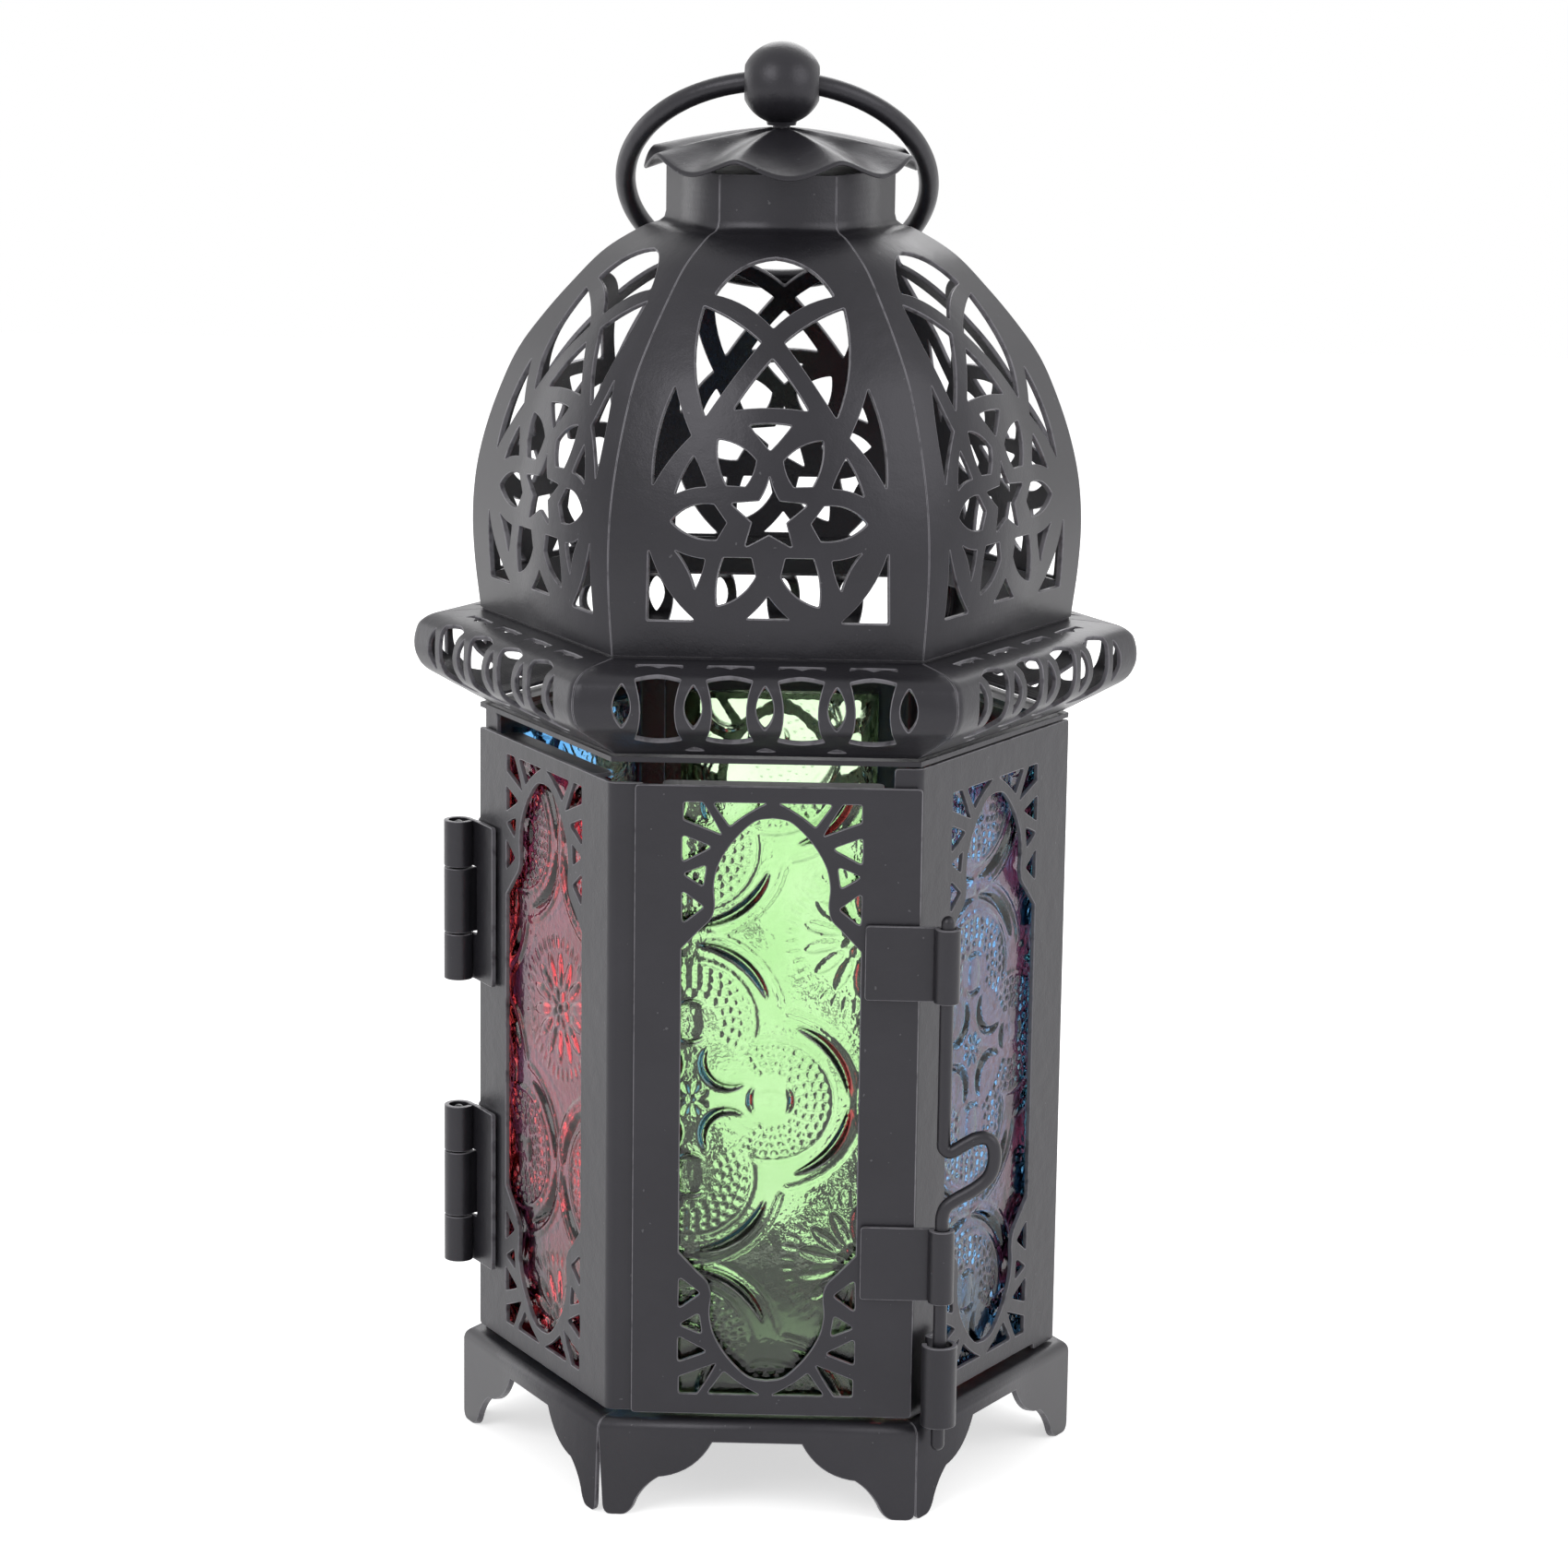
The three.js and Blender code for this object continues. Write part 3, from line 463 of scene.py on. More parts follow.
def cut_sheet(outlines, thickness, cuts_x=(), cuts_y=(), rim=None):
    """A flat sheet cut to outlines, the first line being its edge, sliced where it will bend."""
    rim = mm("rim") if rim is None else rim
    drawing = bpy.data.curves.new("sheet", "CURVE")
    drawing.dimensions = "2D"
    drawing.fill_mode = "BOTH"
    drawing.extrude = thickness / 2 - rim
    drawing.bevel_depth = rim
    drawing.bevel_resolution = 1
    drawing.offset = -rim
    for line in outlines:
        add_line(drawing, [(point[0], point[1], 0) for point in line]).use_cyclic_u = True
    piece = meshed(drawing)
    for axis, cuts in ((0, cuts_x), (1, cuts_y)):
        for place in cuts:
            spot = [0, 0, 0]
            spot[axis] = float(place)
            bpy.ops.mesh.select_all(action="SELECT")
            bpy.ops.mesh.bisect(plane_co=spot, plane_no=(axis == 0, axis == 1, 0))
    face_outwards()
    mark_rim(piece)
    return piece


def add_line(drawing, points):
    spline = drawing.splines.new("POLY")
    spline.points.add(len(points) - 1)
    spline.points.foreach_set("co", np.array([(*point, 1) for point in points], float).ravel())
    return spline


def meshed(drawing):
    """A curve turned into a mesh, left in edit mode with its doubled points merged."""
    piece = bpy.data.objects.new(drawing.name, drawing)
    bpy.context.scene.collection.objects.link(piece)
    choose(piece)
    bpy.ops.object.convert(target="MESH")
    bpy.ops.object.mode_set(mode="EDIT")
    bpy.ops.mesh.select_all(action="SELECT")
    bpy.ops.mesh.remove_doubles(threshold=MERGE)
    return bpy.context.object


def face_outwards():
    """Turn all faces of the mesh in edit mode outwards, and leave edit mode."""
    bpy.ops.mesh.select_all(action="SELECT")
    bpy.ops.mesh.normals_make_consistent(inside=False)
    bpy.ops.object.mode_set(mode="OBJECT")


def mark_rim(piece):
    """Give the faces of a flat sheet's cut edge a rim value of 1."""
    value = (np.abs(face_normals(piece)[:, 2]) < 0.98).astype(np.float32)
    piece.data.attributes.new("rim", "FLOAT", "FACE").data.foreach_set("value", value)


def bend_sheet(piece, place, thickness, side=0):
    """Move a flat sheet's points to place(along, up, depth) and on to its side, shaded as it bends."""
    flat = points_of(piece)

    def moved(along=0.0, up=0.0, depth=0.0):
        spots = place(flat[:, 0] + along, flat[:, 1] + up, thickness / 2 - flat[:, 2] + depth)
        return np.stack(spots, axis=1)

    along = unit(moved(along=0.3) - moved(along=-0.3))
    up = unit(moved(up=0.3) - moved(up=-0.3))
    out = unit(moved(depth=-0.05) - moved(depth=0.05))
    face = np.repeat(face_normals(piece), values(piece.data.polygons, "loop_total", int), axis=0)
    if np.sum(np.cross(along, up) * out) < 0:
        piece.data.flip_normals()
    corner = values(piece.data.loops, "vertex_index", int)
    normals = unit(face[:, :1] * along[corner] + face[:, 1:2] * up[corner] + face[:, 2:] * out[corner])
    move_points(piece, turned(moved(), side) * MM)
    piece.data.shade_smooth()
    piece.data.normals_split_custom_set(turned(normals, side))
    return piece


def folded(outlines, place, thickness, side=0, **cuts):
    """A sheet cut flat and then folded or rolled."""
    return bend_sheet(cut_sheet(outlines, thickness, **cuts), place, thickness, side)


def standing(track, inwards=1):
    """Where the points of a sheet go that stands upright on a plan line."""
    return lambda run, up, depth: (*track.at(run, inwards * depth), up)


def unit(vectors):
    return vectors / np.linalg.norm(vectors, axis=1)[:, None]


def copy_round(piece, side):
    """A copy of a front piece, with its own mesh, on another side."""
    twin = piece.copy()
    twin.data = piece.data.copy()
    bpy.context.scene.collection.objects.link(twin)
    move_points(twin, turned(points_of(twin), side))
    return twin


def settle_round(front, name):
    """Settle the front piece and its copies on the other sides; name stands before each side's own."""
    for side in range(1, 6):
        settle(copy_round(front, side), name + SIDES[side])
    settle(front, name + SIDES[0])


def facet(track):
    """For one of six mitred sides: its half width along the track's run, and where its points go."""
    gap = mm("seam") / 2 / COS30

    def half(run):
        return track.at(run, 0)[0] * TAN30 - gap

    def place(x, run, depth):
        out, up = track.at(run, depth)
        return x * (out * TAN30 - gap) / half(run), -out, up

    return half, place


def side_edge(track, half, count):
    """The edge of a side whose half width changes along its track."""
    runs = np.linspace(0.02, track.run[-1] - 0.02, count)
    return [(half(run), run) for run in runs] + [(-half(run), run) for run in runs[::-1]]


def spun(profile, steps=96):
    """A closed profile (radius, height) spun round the Z axis."""
    clear_choice()
    bpy.ops.mesh.primitive_circle_add(vertices=len(profile), radius=1)
    piece = bpy.context.object
    move_points(piece, np.array([(radius, 0, height) for radius, height in profile]))
    bpy.ops.object.mode_set(mode="EDIT")
    bpy.ops.mesh.select_all(action="SELECT")
    bpy.ops.mesh.spin(steps=steps, angle=2 * math.pi, center=(0, 0, 0), axis=(0, 0, 1))
    bpy.ops.mesh.select_all(action="SELECT")
    bpy.ops.mesh.remove_doubles(threshold=2 * MERGE)
    bpy.ops.mesh.dissolve_degenerate(threshold=MERGE)
    face_outwards()
    return piece


def scaled(piece, offset=(0, 0, 0)):
    move_points(piece, (points_of(piece) + np.array(offset, float)) * MM)


def wire(node, path, radius):
    """A settled round wire along a 3-D line, with domed ends."""
    path = [np.array(point, float) for point in path]
    domes = []
    for end, inner in ((path[0], path[1]), (path[-1], path[-2])):
        way = (inner - end) / np.linalg.norm(inner - end)
        domes.append([(end + way * radius * t, math.sqrt(1 - (1 - t) ** 2))
                      for t in (0.02, 0.12, 0.3, 0.55, 0.8, 1.0)])
    points = domes[0] + [(point, 1) for point in path[1:-1]] + domes[1][::-1]
    drawing = bpy.data.curves.new("wire", "CURVE")
    drawing.dimensions = "3D"
    drawing.bevel_depth = radius
    drawing.bevel_resolution = 6
    drawing.use_fill_caps = True
    line = add_line(drawing, [point for point, _ in points])
    line.points.foreach_set("radius", [size for _, size in points])
    piece = meshed(drawing)
    face_outwards()
    scaled(piece)
    settle(piece, node, angle=40)


# Base

FOOT_WIDTH = 6


def flap_outline(track, half):
    """Scalloped flap: x from its middle, y along the sheet from the foot to the floor."""
    inner = mm("base_apothem") * TAN30 - FOOT_WIDTH
    right = [(0, 12.5), (7.2, 12.5)]
    right += quad((7.2, 12.5), (9.8, 7.5), (15.0, 6.6))
    right += [(15.8, 6.5)]
    right += quad((15.8, 6.5), (inner - 1.4, 5), (inner, 2.4))
    right += quad((inner, 2.4), (inner + 0.9, 0.05), (inner + 2.6, 0.0))
    right += [(half(0) - 1.6, 0)]
    right += quad((half(0) - 1.6, 0), (half(0), 0), (half(0), 1.8))
    for run in np.linspace(2.2, track.run[-1] - 0.02, 24):
        right.append((half(run), run))
    left = [(-x, y) for x, y in right[::-1] if x > 1e-6]
    return [np.array(point) for point in right + left]


class LANTERN_OT_base(bpy.types.Operator):
    """Base pan with six scalloped flaps, whose corners are the feet"""
    bl_idname = "lantern.base"
    bl_label = "Base pan"

    def execute(self, context):
        apothem, height, sheet = mm("base_apothem"), mm("base_height"), 1.0
        track = Track(rounded_line([(apothem, 0), (apothem, height), (apothem - 7, height)], [1.8]))
        half, place = facet(track)
        flap = folded([flap_outline(track, half)], place, sheet, cuts_y=track.bends())
        flaps = [flap] + [copy_round(flap, side) for side in range(1, 6)]
        self.open_corner(flaps)
        corners = on_circle((0, 0), (apothem - 1.6) / COS30, np.arange(6) * math.pi / 3)
        floor = cut_sheet([soften(corners, 1.0)], sheet)
        scaled(floor, (0, 0, height - sheet / 2 - 0.02))
        pan = joined([floor] + flaps)
        settle(pan, "base_pan")
        return {"FINISHED"}

    def open_corner(self, flaps):
        """Draw two neighbouring flaps apart towards the foot, as the left corner stands open."""
        for side, end in ((0, -1), (5, 1)):
            points = turned(points_of(flaps[side]) / MM, -side)
            near = end * points[:, 0] > 10
            fall = np.clip((14.5 - points[:, 2]) / 14.5, 0, 1)
            edge = np.clip((end * points[:, 0] - 19) / 6.5, 0, 1)
            points[:, 0] -= np.where(near, end * 0.85 * fall * edge, 0)
            move_points(flaps[side], turned(points, side) * MM)


class LANTERN_OT_cup(bpy.types.Operator):
    """Pressed cup for a tea light, with a rolled rim"""
    bl_idname = "lantern.cup"
    bl_label = "Candle cup"

    def execute(self, context):
        radius, height, sheet = mm("cup_radius"), mm("cup_height"), mm("sheet")
        outer = rounded_line([(0, 0), (radius, 0), (radius, height)], [1.6], 6)
        lip = on_circle((radius - sheet / 2, height - sheet / 2), sheet / 2, np.linspace(0, math.pi, 7))
        inner = rounded_line([(radius - sheet, height), (radius - sheet, sheet), (0, sheet)], [0.9], 5)
        profile = [tuple(p) for p in outer[:-1]] + lip + [tuple(p) for p in inner[1:]]
        cup = spun(profile)
        scaled(cup, (0, 0, mm("base_height") + mm("play")))
        settle(cup, "candle_cup", angle=30)
        return {"FINISHED"}


# Side panels

WINDOW_MIDDLE, WINDOW_HALF = 68.8, 48.6
PANE_HALF_WIDTH, PANE_HALF_HEIGHT, PANE_THICKNESS = 17.0, 50.1, 2.6
PANE_LIP = PANE_HALF_WIDTH + 0.3
DOOR_FRONT = 43.1
DOOR_WINDOW_X = 1.2
HIDDEN_PLANE = 40.9
FOLD_RADIUS = 1.9

# Tabs that grip a pane: height off its middle, half width, and reach over the glass
TAB_REACH, TAB_HALF, TAB_GRIP = 23, 2.5, 2.6

# Lips and tabs begin this far behind a panel's outer face, inside its sheet
SHEET_HALF = 0.4

# Bottom and top of a fixed panel and of a door panel
FIXED = (16.3, 123.0)
DOOR = (16.9, 120.0)

# Openings at the end of a window: x from the middle, drop below its end, bulge of the next edge
SPANDREL = [
    [(13.9, 0.1), (11.0, 0.1, 0.1), (8.0, 5.2), (13.9, 2.9)],
    [(9.4, 0.1), (1.0, 0.1, -0.25), (6.7, 3.9)],
    [(14.1, 5.4), (14.1, 9.7), (9.4, 7.2)],
    [(14.0, 11.6), (10.3, 10.1), (10.8, 13.6)],
    [(14.1, 14.3), (10.6, 16.9), (14.0, 19.6)],
]
ARCH = [(0, 2.5), (2.4, 2.9), (4.4, 4.4), (6.8, 7.2), (8.5, 10.4), (9.1, 13.6), (8.9, 16.6),
        (9.5, 18.8), (11.3, 20.7), (14.1, 23.7)]


def window_outlines(middle):
    """Arch and spandrel openings round a window's middle (x, height)."""
    def place(point, end, side):
        return (side * point[0] + middle[0], middle[1] + end * (WINDOW_HALF - point[1])) + tuple(point[2:])

    arch = [tuple(point) for point in flowing(ARCH, 4)]
    right = [place(point, 1, 1) for point in arch] + [place(point, -1, 1) for point in arch[::-1]]
    left = [place(point, -1, -1) for point in arch[1:]] + [place(point, 1, -1) for point in arch[:0:-1]]
    lines = [soften(right + left, 0.3)]
    for cut in SPANDREL:
        for end in (1, -1):
            for side in (1, -1):
                lines.append(outline([place(point, end, side) for point in cut], 0.4))
    return lines


def panel_track(apothem, left, right):
    """Plan line of a panel from end to end; an end is an x, or the plane and width of a strip that
    the panel folds on to the neighbouring side."""
    middle = (0, -apothem)
    halves = []
    for end, stop in ((-1, left), (1, right)):
        if isinstance(stop, tuple):
            plane, width = stop
            corner = (end * (plane - apothem / 2) / COS30, -apothem)
            tip = (corner[0] + end * width / 2, corner[1] + COS30 * width)
            halves.append(rounded_line([middle, corner, tip], [FOLD_RADIUS]))
        else:
            halves.append(np.array([middle, (stop, -apothem)]))
    return Track(np.vstack([halves[0][:0:-1], halves[1]]), zero_at=middle)


def pane_fittings(apothem, x, bottom, top, sheet):
    """Folded lips and tabs that hold a pane behind its panel."""
    made = []
    depth = sheet + PANE_THICKNESS + 2 * mm("play")
    front = -apothem + SHEET_HALF
    for height in (bottom + sheet, top):
        edge = soften(rectangle(x - PANE_LIP, 0, x + PANE_LIP, depth - SHEET_HALF), 1.2)
        made.append(folded([edge], lambda u, v, d, top=height: (u, front + v, top - d), sheet))
    for end in (-1, 1):
        outer = x + end * (PANE_LIP + sheet)
        back = -apothem + depth + sheet
        hook = [(outer, front), (outer, back), (outer - end * TAB_GRIP, back)]
        track = Track(rounded_line(hook[::end], [1.1]))
        for middle in (WINDOW_MIDDLE - TAB_REACH, WINDOW_MIDDLE + TAB_REACH):
            edge = soften(rectangle(0, middle - TAB_HALF, track.run[-1], middle + TAB_HALF), 0.8)
            made.append(folded([edge], standing(track), sheet, cuts_x=track.bends()))
    return made


def build_panel(side, apothem, left, right, heights, x=0.0, relief=0.0):
    """A folded panel with its window at x; relief is the notch in its foot above the base."""
    sheet = mm("sheet")
    track = panel_track(apothem, left, right)
    low, high = heights
    first, last = track.run[0] + 0.02, track.run[-1] - 0.02
    edge = [(last, low), (last, high), (first, high), (first, low)]
    if relief:
        left, right = x - PANE_LIP, x + PANE_LIP
        edge += [(left, low), (left, low + relief), (right, low + relief), (right, low)]
    lines = [soften(edge, 0.7)] + window_outlines((x, WINDOW_MIDDLE))
    piece = folded(lines, standing(track), sheet, cuts_x=track.bends())
    panel = joined([piece] + pane_fittings(apothem, x, low + relief, high, sheet))
    move_points(panel, turned(points_of(panel), side))
    settle(panel, "panel_" + SIDES[side])


class LANTERN_OT_panels(bpy.types.Operator):
    """Four fixed side panels and the two joined door panels, with cut-out windows"""
    bl_idname = "lantern.panels"
    bl_label = "Side panels"

    def execute(self, context):
        apothem = mm("body_apothem")
        corner = apothem * TAN30
        hidden = (HIDDEN_PLANE, 5.0)
        build_panel(0, DOOR_FRONT, -20.4, 24.6, DOOR, DOOR_WINDOW_X)
        build_panel(1, apothem, (apothem, 4.2), corner, FIXED, relief=1.0)
        for side in (2, 3):
            build_panel(side, apothem, hidden, corner, FIXED, relief=1.0)
        build_panel(4, apothem, hidden, hidden, FIXED, relief=1.0)
        build_panel(5, apothem, -corner, (apothem, 5.3), DOOR)
        return {"FINISHED"}


# Glass

PATTERN_STEP = 53.6
TALLEST_BEAD = 0.42
CRESCENT_SLOPE = 1.1

# Slope at which painted shade begins to darken the glass, and how much more of it darkens it fully
STEEP_FROM, STEEP_SPAN = 0.45, 0.5

# Depth of the plain glass below the highest that the front of a pane may reach
PLAIN_DEPTH = 0.55

# Where a medallion's centre lies on each pane: x and height from the window's middle
PATTERN_SHIFT = [(-12.5, 0.0), (-3.0, 4.0), (9.0, -6.0), (14.5, -12.0), (-8.0, 8.0), (-23.7, -17.4)]


class Relief:
    """Heights of a pane's pressed pattern on a grid (x, height), in millimetres."""

    def __init__(self, xs, zs):
        self.xs, self.zs = xs, zs
        self.height = np.zeros((len(zs), len(xs)))

    def near(self, x, z, reach):
        """The part of the grid round a point, with its offsets from the point."""
        i = np.searchsorted(self.xs, [x - reach, x + reach])
        j = np.searchsorted(self.zs, [z - reach, z + reach])
        span = (slice(j[0], j[1]), slice(i[0], i[1]))
        return span, self.xs[None, span[1]] - x, self.zs[span[0], None] - z

    def raise_to(self, span, height):
        self.height[span] = np.where(height > 0, np.maximum(self.height[span], height), self.height[span])

    def bead(self, x, z, long, wide, turn, height):
        """An oval bead, its length lying along turn."""
        span, dx, dz = self.near(x, z, max(long, wide) + 0.3)
        along = dx * math.cos(turn) + dz * math.sin(turn)
        across = -dx * math.sin(turn) + dz * math.cos(turn)
        share = 1 - (along / long) ** 2 - (across / wide) ** 2
        self.raise_to(span, height * np.sqrt(np.clip(share, 0, 1)))

    def along(self, x, z, radius, middle, spread, width):
        """Distance off an arc, and share of the way from its middle to its ends, round the arc."""
        span, dx, dz = self.near(x, z, radius + width + 0.3)
        away = np.abs((np.degrees(np.arctan2(dz, dx)) - middle + 180) % 360 - 180) / spread
        return span, np.hypot(dx, dz) - radius, away

    def arc(self, x, z, radius, middle, spread, width, height):
        """A rounded ridge on an arc, spread degrees to both sides of middle."""
        span, out, away = self.along(x, z, radius, middle, spread, width)
        share = np.clip(1 - (out / width) ** 2, 0, 1)
        self.raise_to(span, height * share * np.clip((1 - away) * 8, 0, 1))

    def groove(self, x, z, radius, middle, spread, width):
        """A crescent cut like a V, thinning out to both ends."""
        span, out, away = self.along(x, z, radius, middle, spread, width)
        slim = width * np.sqrt(np.clip(1 - away ** 2, 0, 1))
        cut = -CRESCENT_SLOPE * np.clip(slim - np.abs(out), 0, None)
        self.height[span] = np.where(cut < 0, cut, self.height[span])

    def wheel(self, x, z, radius, count, long, wide, height, middle=0.0, spread=180.0):
        """Beads that point away from a centre, evenly spaced on an arc."""
        for k in range(count):
            way = math.radians(middle + spread * ((2 * k + 1) / count - 1))
            self.bead(x + radius * math.cos(way), z + radius * math.sin(way), long, wide, way, height)


def medallion(relief, x, z):
    """Four lobes with beads round a smooth eye, held by strong crescents and a thin cusped line."""
    for turn in (0, 90, 180, 270):
        way = math.radians(turn)
        lobe = (x + 12.6 * math.cos(way), z + 12.6 * math.sin(way))
        for row, radius in enumerate((4.9, 6.2, 7.5, 8.8)):
            count = int(math.radians(250) * radius / 1.8) + row % 2
            relief.wheel(*lobe, radius, count, 0.58, 0.58, 0.18, turn, 125)
        relief.bead(*lobe, 3.2, 1.7, way, 0.14)
        relief.arc(*lobe, 10.0, turn, 128, 0.7, 0.2)
        notch = math.radians(turn + 45)
        relief.groove(x + 8.6 * math.cos(notch), z + 8.6 * math.sin(notch), 4.2, turn + 225, 80, 0.85)
        for side in (-1, 1):
            relief.groove(*lobe, 3.3, turn + 90 - side * 90, 40, 0.5)
            relief.groove(*lobe, 12.6, turn + side * 38, 34, 0.95)
            relief.arc(*lobe, 14.7, turn + side * 40, 42, 0.7, 0.2)
    relief.wheel(x, z, 1.9, 8, 1.1, 0.5, 0.28)
    relief.bead(x, z, 0.7, 0.7, 0, 0.35)


def flower(relief, x, z):
    """A centre, eight short petals, fourteen long drops and a comb of thin rays."""
    relief.bead(x, z, 0.9, 0.9, 0, 0.4)
    relief.wheel(x, z, 2.3, 8, 1.2, 0.75, 0.24)
    relief.wheel(x, z, 6.5, 14, 2.9, 1.0, 0.3)
    relief.wheel(x, z, 11.0, 40, 1.3, 0.42, 0.1)


def relief_for(xs, zs, shift):
    """One pane's pattern; shift moves it over the glass, as each pane was cut from a larger sheet."""
    relief = Relief(xs, zs)
    for row in range(-2, 3):
        for column in range(-1, 2):
            x, z = shift[0] + column * PATTERN_STEP, shift[1] + row * PATTERN_STEP
            medallion(relief, x, z)
            flower(relief, x + PATTERN_STEP / 2, z + PATTERN_STEP / 2)
    return relief.height


class LANTERN_OT_panes(bpy.types.Operator):
    """Six panes of pressed glass with beaded medallions and flowers"""
    bl_idname = "lantern.panes"
    bl_label = "Glass panes"

    def execute(self, context):
        grain = mm("pane_grain")
        columns = int(2 * PANE_HALF_WIDTH / grain)
        rows = int(2 * PANE_HALF_HEIGHT / grain)
        for side, name in enumerate(SIDES):
            clear_choice()
            bpy.ops.mesh.primitive_grid_add(x_subdivisions=columns, y_subdivisions=rows, size=2)
            pane = bpy.context.object
            grid = points_of(pane)
            x = grid[:, 0] * PANE_HALF_WIDTH
            z = grid[:, 1] * PANE_HALF_HEIGHT
            xs, zs = np.unique(np.round(x, 5)), np.unique(np.round(z, 5))
            height = relief_for(xs, zs, PATTERN_SHIFT[side])
            slope = np.hypot(*np.gradient(height, zs, xs)) / TALLEST_BEAD * mm("relief")
            spot = (np.searchsorted(zs, np.round(z, 5)), np.searchsorted(xs, np.round(x, 5)))
            inside = np.minimum(PANE_HALF_WIDTH - np.abs(x), PANE_HALF_HEIGHT - np.abs(z))
            fade = np.clip(inside - 1, 0, 1)
            # Painted shade mask: sharp slopes of the relief, faded out towards the pane's edge, darken the
            # glass colour
            steep = np.clip((slope[spot] - STEEP_FROM) / STEEP_SPAN, 0, 1) * fade
            marks = pane.data.attributes.new("steep", "FLOAT", "POINT")
            marks.data.foreach_set("value", steep.astype(np.float32))
            apothem, shift = (DOOR_FRONT, DOOR_WINDOW_X) if side == 0 else (mm("body_apothem"), 0.0)
            front = -apothem + mm("sheet") + mm("play")
            depth = PLAIN_DEPTH - height[spot] / TALLEST_BEAD * fade * mm("relief")
            move_points(pane, np.stack([x + shift, front + depth, z + WINDOW_MIDDLE], axis=1))
            bpy.ops.object.mode_set(mode="EDIT")
            bpy.ops.mesh.select_all(action="SELECT")
            bpy.ops.mesh.region_to_loop()
            back = (0, PANE_THICKNESS - PLAIN_DEPTH, 0)
            bpy.ops.mesh.extrude_region_move(TRANSFORM_OT_translate={"value": back})
            bpy.ops.mesh.edge_face_add()
            face_outwards()
            move_points(pane, turned(points_of(pane), side) * MM)
            settle(pane, "pane_" + name, GLASS[side], angle=75)
        return {"FINISHED"}


# Hinges and latch

HINGES = {"upper": 90.7, "lower": 41.8}
HINGE_CENTRE = (25.9985, -45.0307)
HINGE_RADIUS = 2.45
HINGE_AXIS_X = -51.997
LEAF_HALF, LEAF_WIDTH, KNUCKLE, PIN_HALF = 13.5, 8.8, 11.2, 13.4
LATCH_CENTRE = (28.9, -44.6)
LATCH_RADIUS = 2.05
STRAPS = {"upper": 92.2, "lower": 43.0}
STRAP_HALF = 6

# Bottom and top of the keeper, and of the bolt
KEEPER = (16.6, 30.0)
BOLT = (12.2, 100.2)

PIN_RADIUS = 1.1
FITTING_SHEET = 0.8
FITTING_RIM = 0.12
SEAT_PLANE = -42.3
SWEEP = 318

# Run of a hinge leaf that stays clear of the other leaf's barrel, before the roll begins
KNUCKLE_CLEARANCE = 2.9


def rolled_track(start, centre, radius, end):
    """Plan line of a strap that lies on a panel and rolls round a pin; end is -1 or 1 along x."""
    plate_y = centre[1] + radius
    lead = [(start[0], start[1]), (centre[0] - end * 2.4, start[1]), (centre[0] - end * 0.9, plate_y)]
    line = [tuple(p) for p in flowing(lead, 5)]
    angles = np.radians(np.linspace(90, 90 - SWEEP, 40))
    line += [(centre[0] + end * radius * math.cos(a), centre[1] + radius * math.sin(a)) for a in angles]
    return np.array(line)


def strap_piece(start, centre, radius, end, edge_for, softness):
    """A sheet that lies flat from start and rolls round centre, cut by edge_for(length of the run)."""
    track = Track(rolled_track(start, centre, radius, end))
    edge = soften(edge_for(track.run[-1]), softness)
    return folded([edge], standing(track, -end), FITTING_SHEET, cuts_x=track.bends(), rim=FITTING_RIM)


class LANTERN_OT_hinges(bpy.types.Operator):
    """Two hinges of rolled sheet with their pins"""
    bl_idname = "lantern.hinges"
    bl_label = "Hinges"

    def execute(self, context):
        for level, height in HINGES.items():
            for kind, side, end in (("door", 5, -1), ("body", 4, 1)):
                def edge_for(total, end=end, height=height):
                    barrel = total - HINGE_RADIUS * math.radians(SWEEP) - KNUCKLE_CLEARANCE
                    bottom, top = height - LEAF_HALF, height + LEAF_HALF
                    low = height - KNUCKLE / 2 + end * mm("play") / 2
                    high = height + KNUCKLE / 2 - end * mm("play") / 2
                    inner, outer = (total, barrel) if end < 0 else (barrel, total)
                    return [(0, bottom), (inner, bottom), (inner, low), (outer, low),
                            (outer, high), (inner, high), (inner, top), (0, top)]

                centre = (end * HINGE_CENTRE[0], HINGE_CENTRE[1])
                start = (centre[0] - end * LEAF_WIDTH, SEAT_PLANE)
                leaf = strap_piece(start, centre, HINGE_RADIUS, end, edge_for, 0.5)
                move_points(leaf, turned(points_of(leaf), side))
                settle(leaf, f"hinge_{level}_{kind}_leaf")
            path = [(HINGE_AXIS_X, 0, height + rise) for rise in (-PIN_HALF, 0, PIN_HALF)]
            wire(f"hinge_{level}_pin", path, PIN_RADIUS)
        return {"FINISHED"}


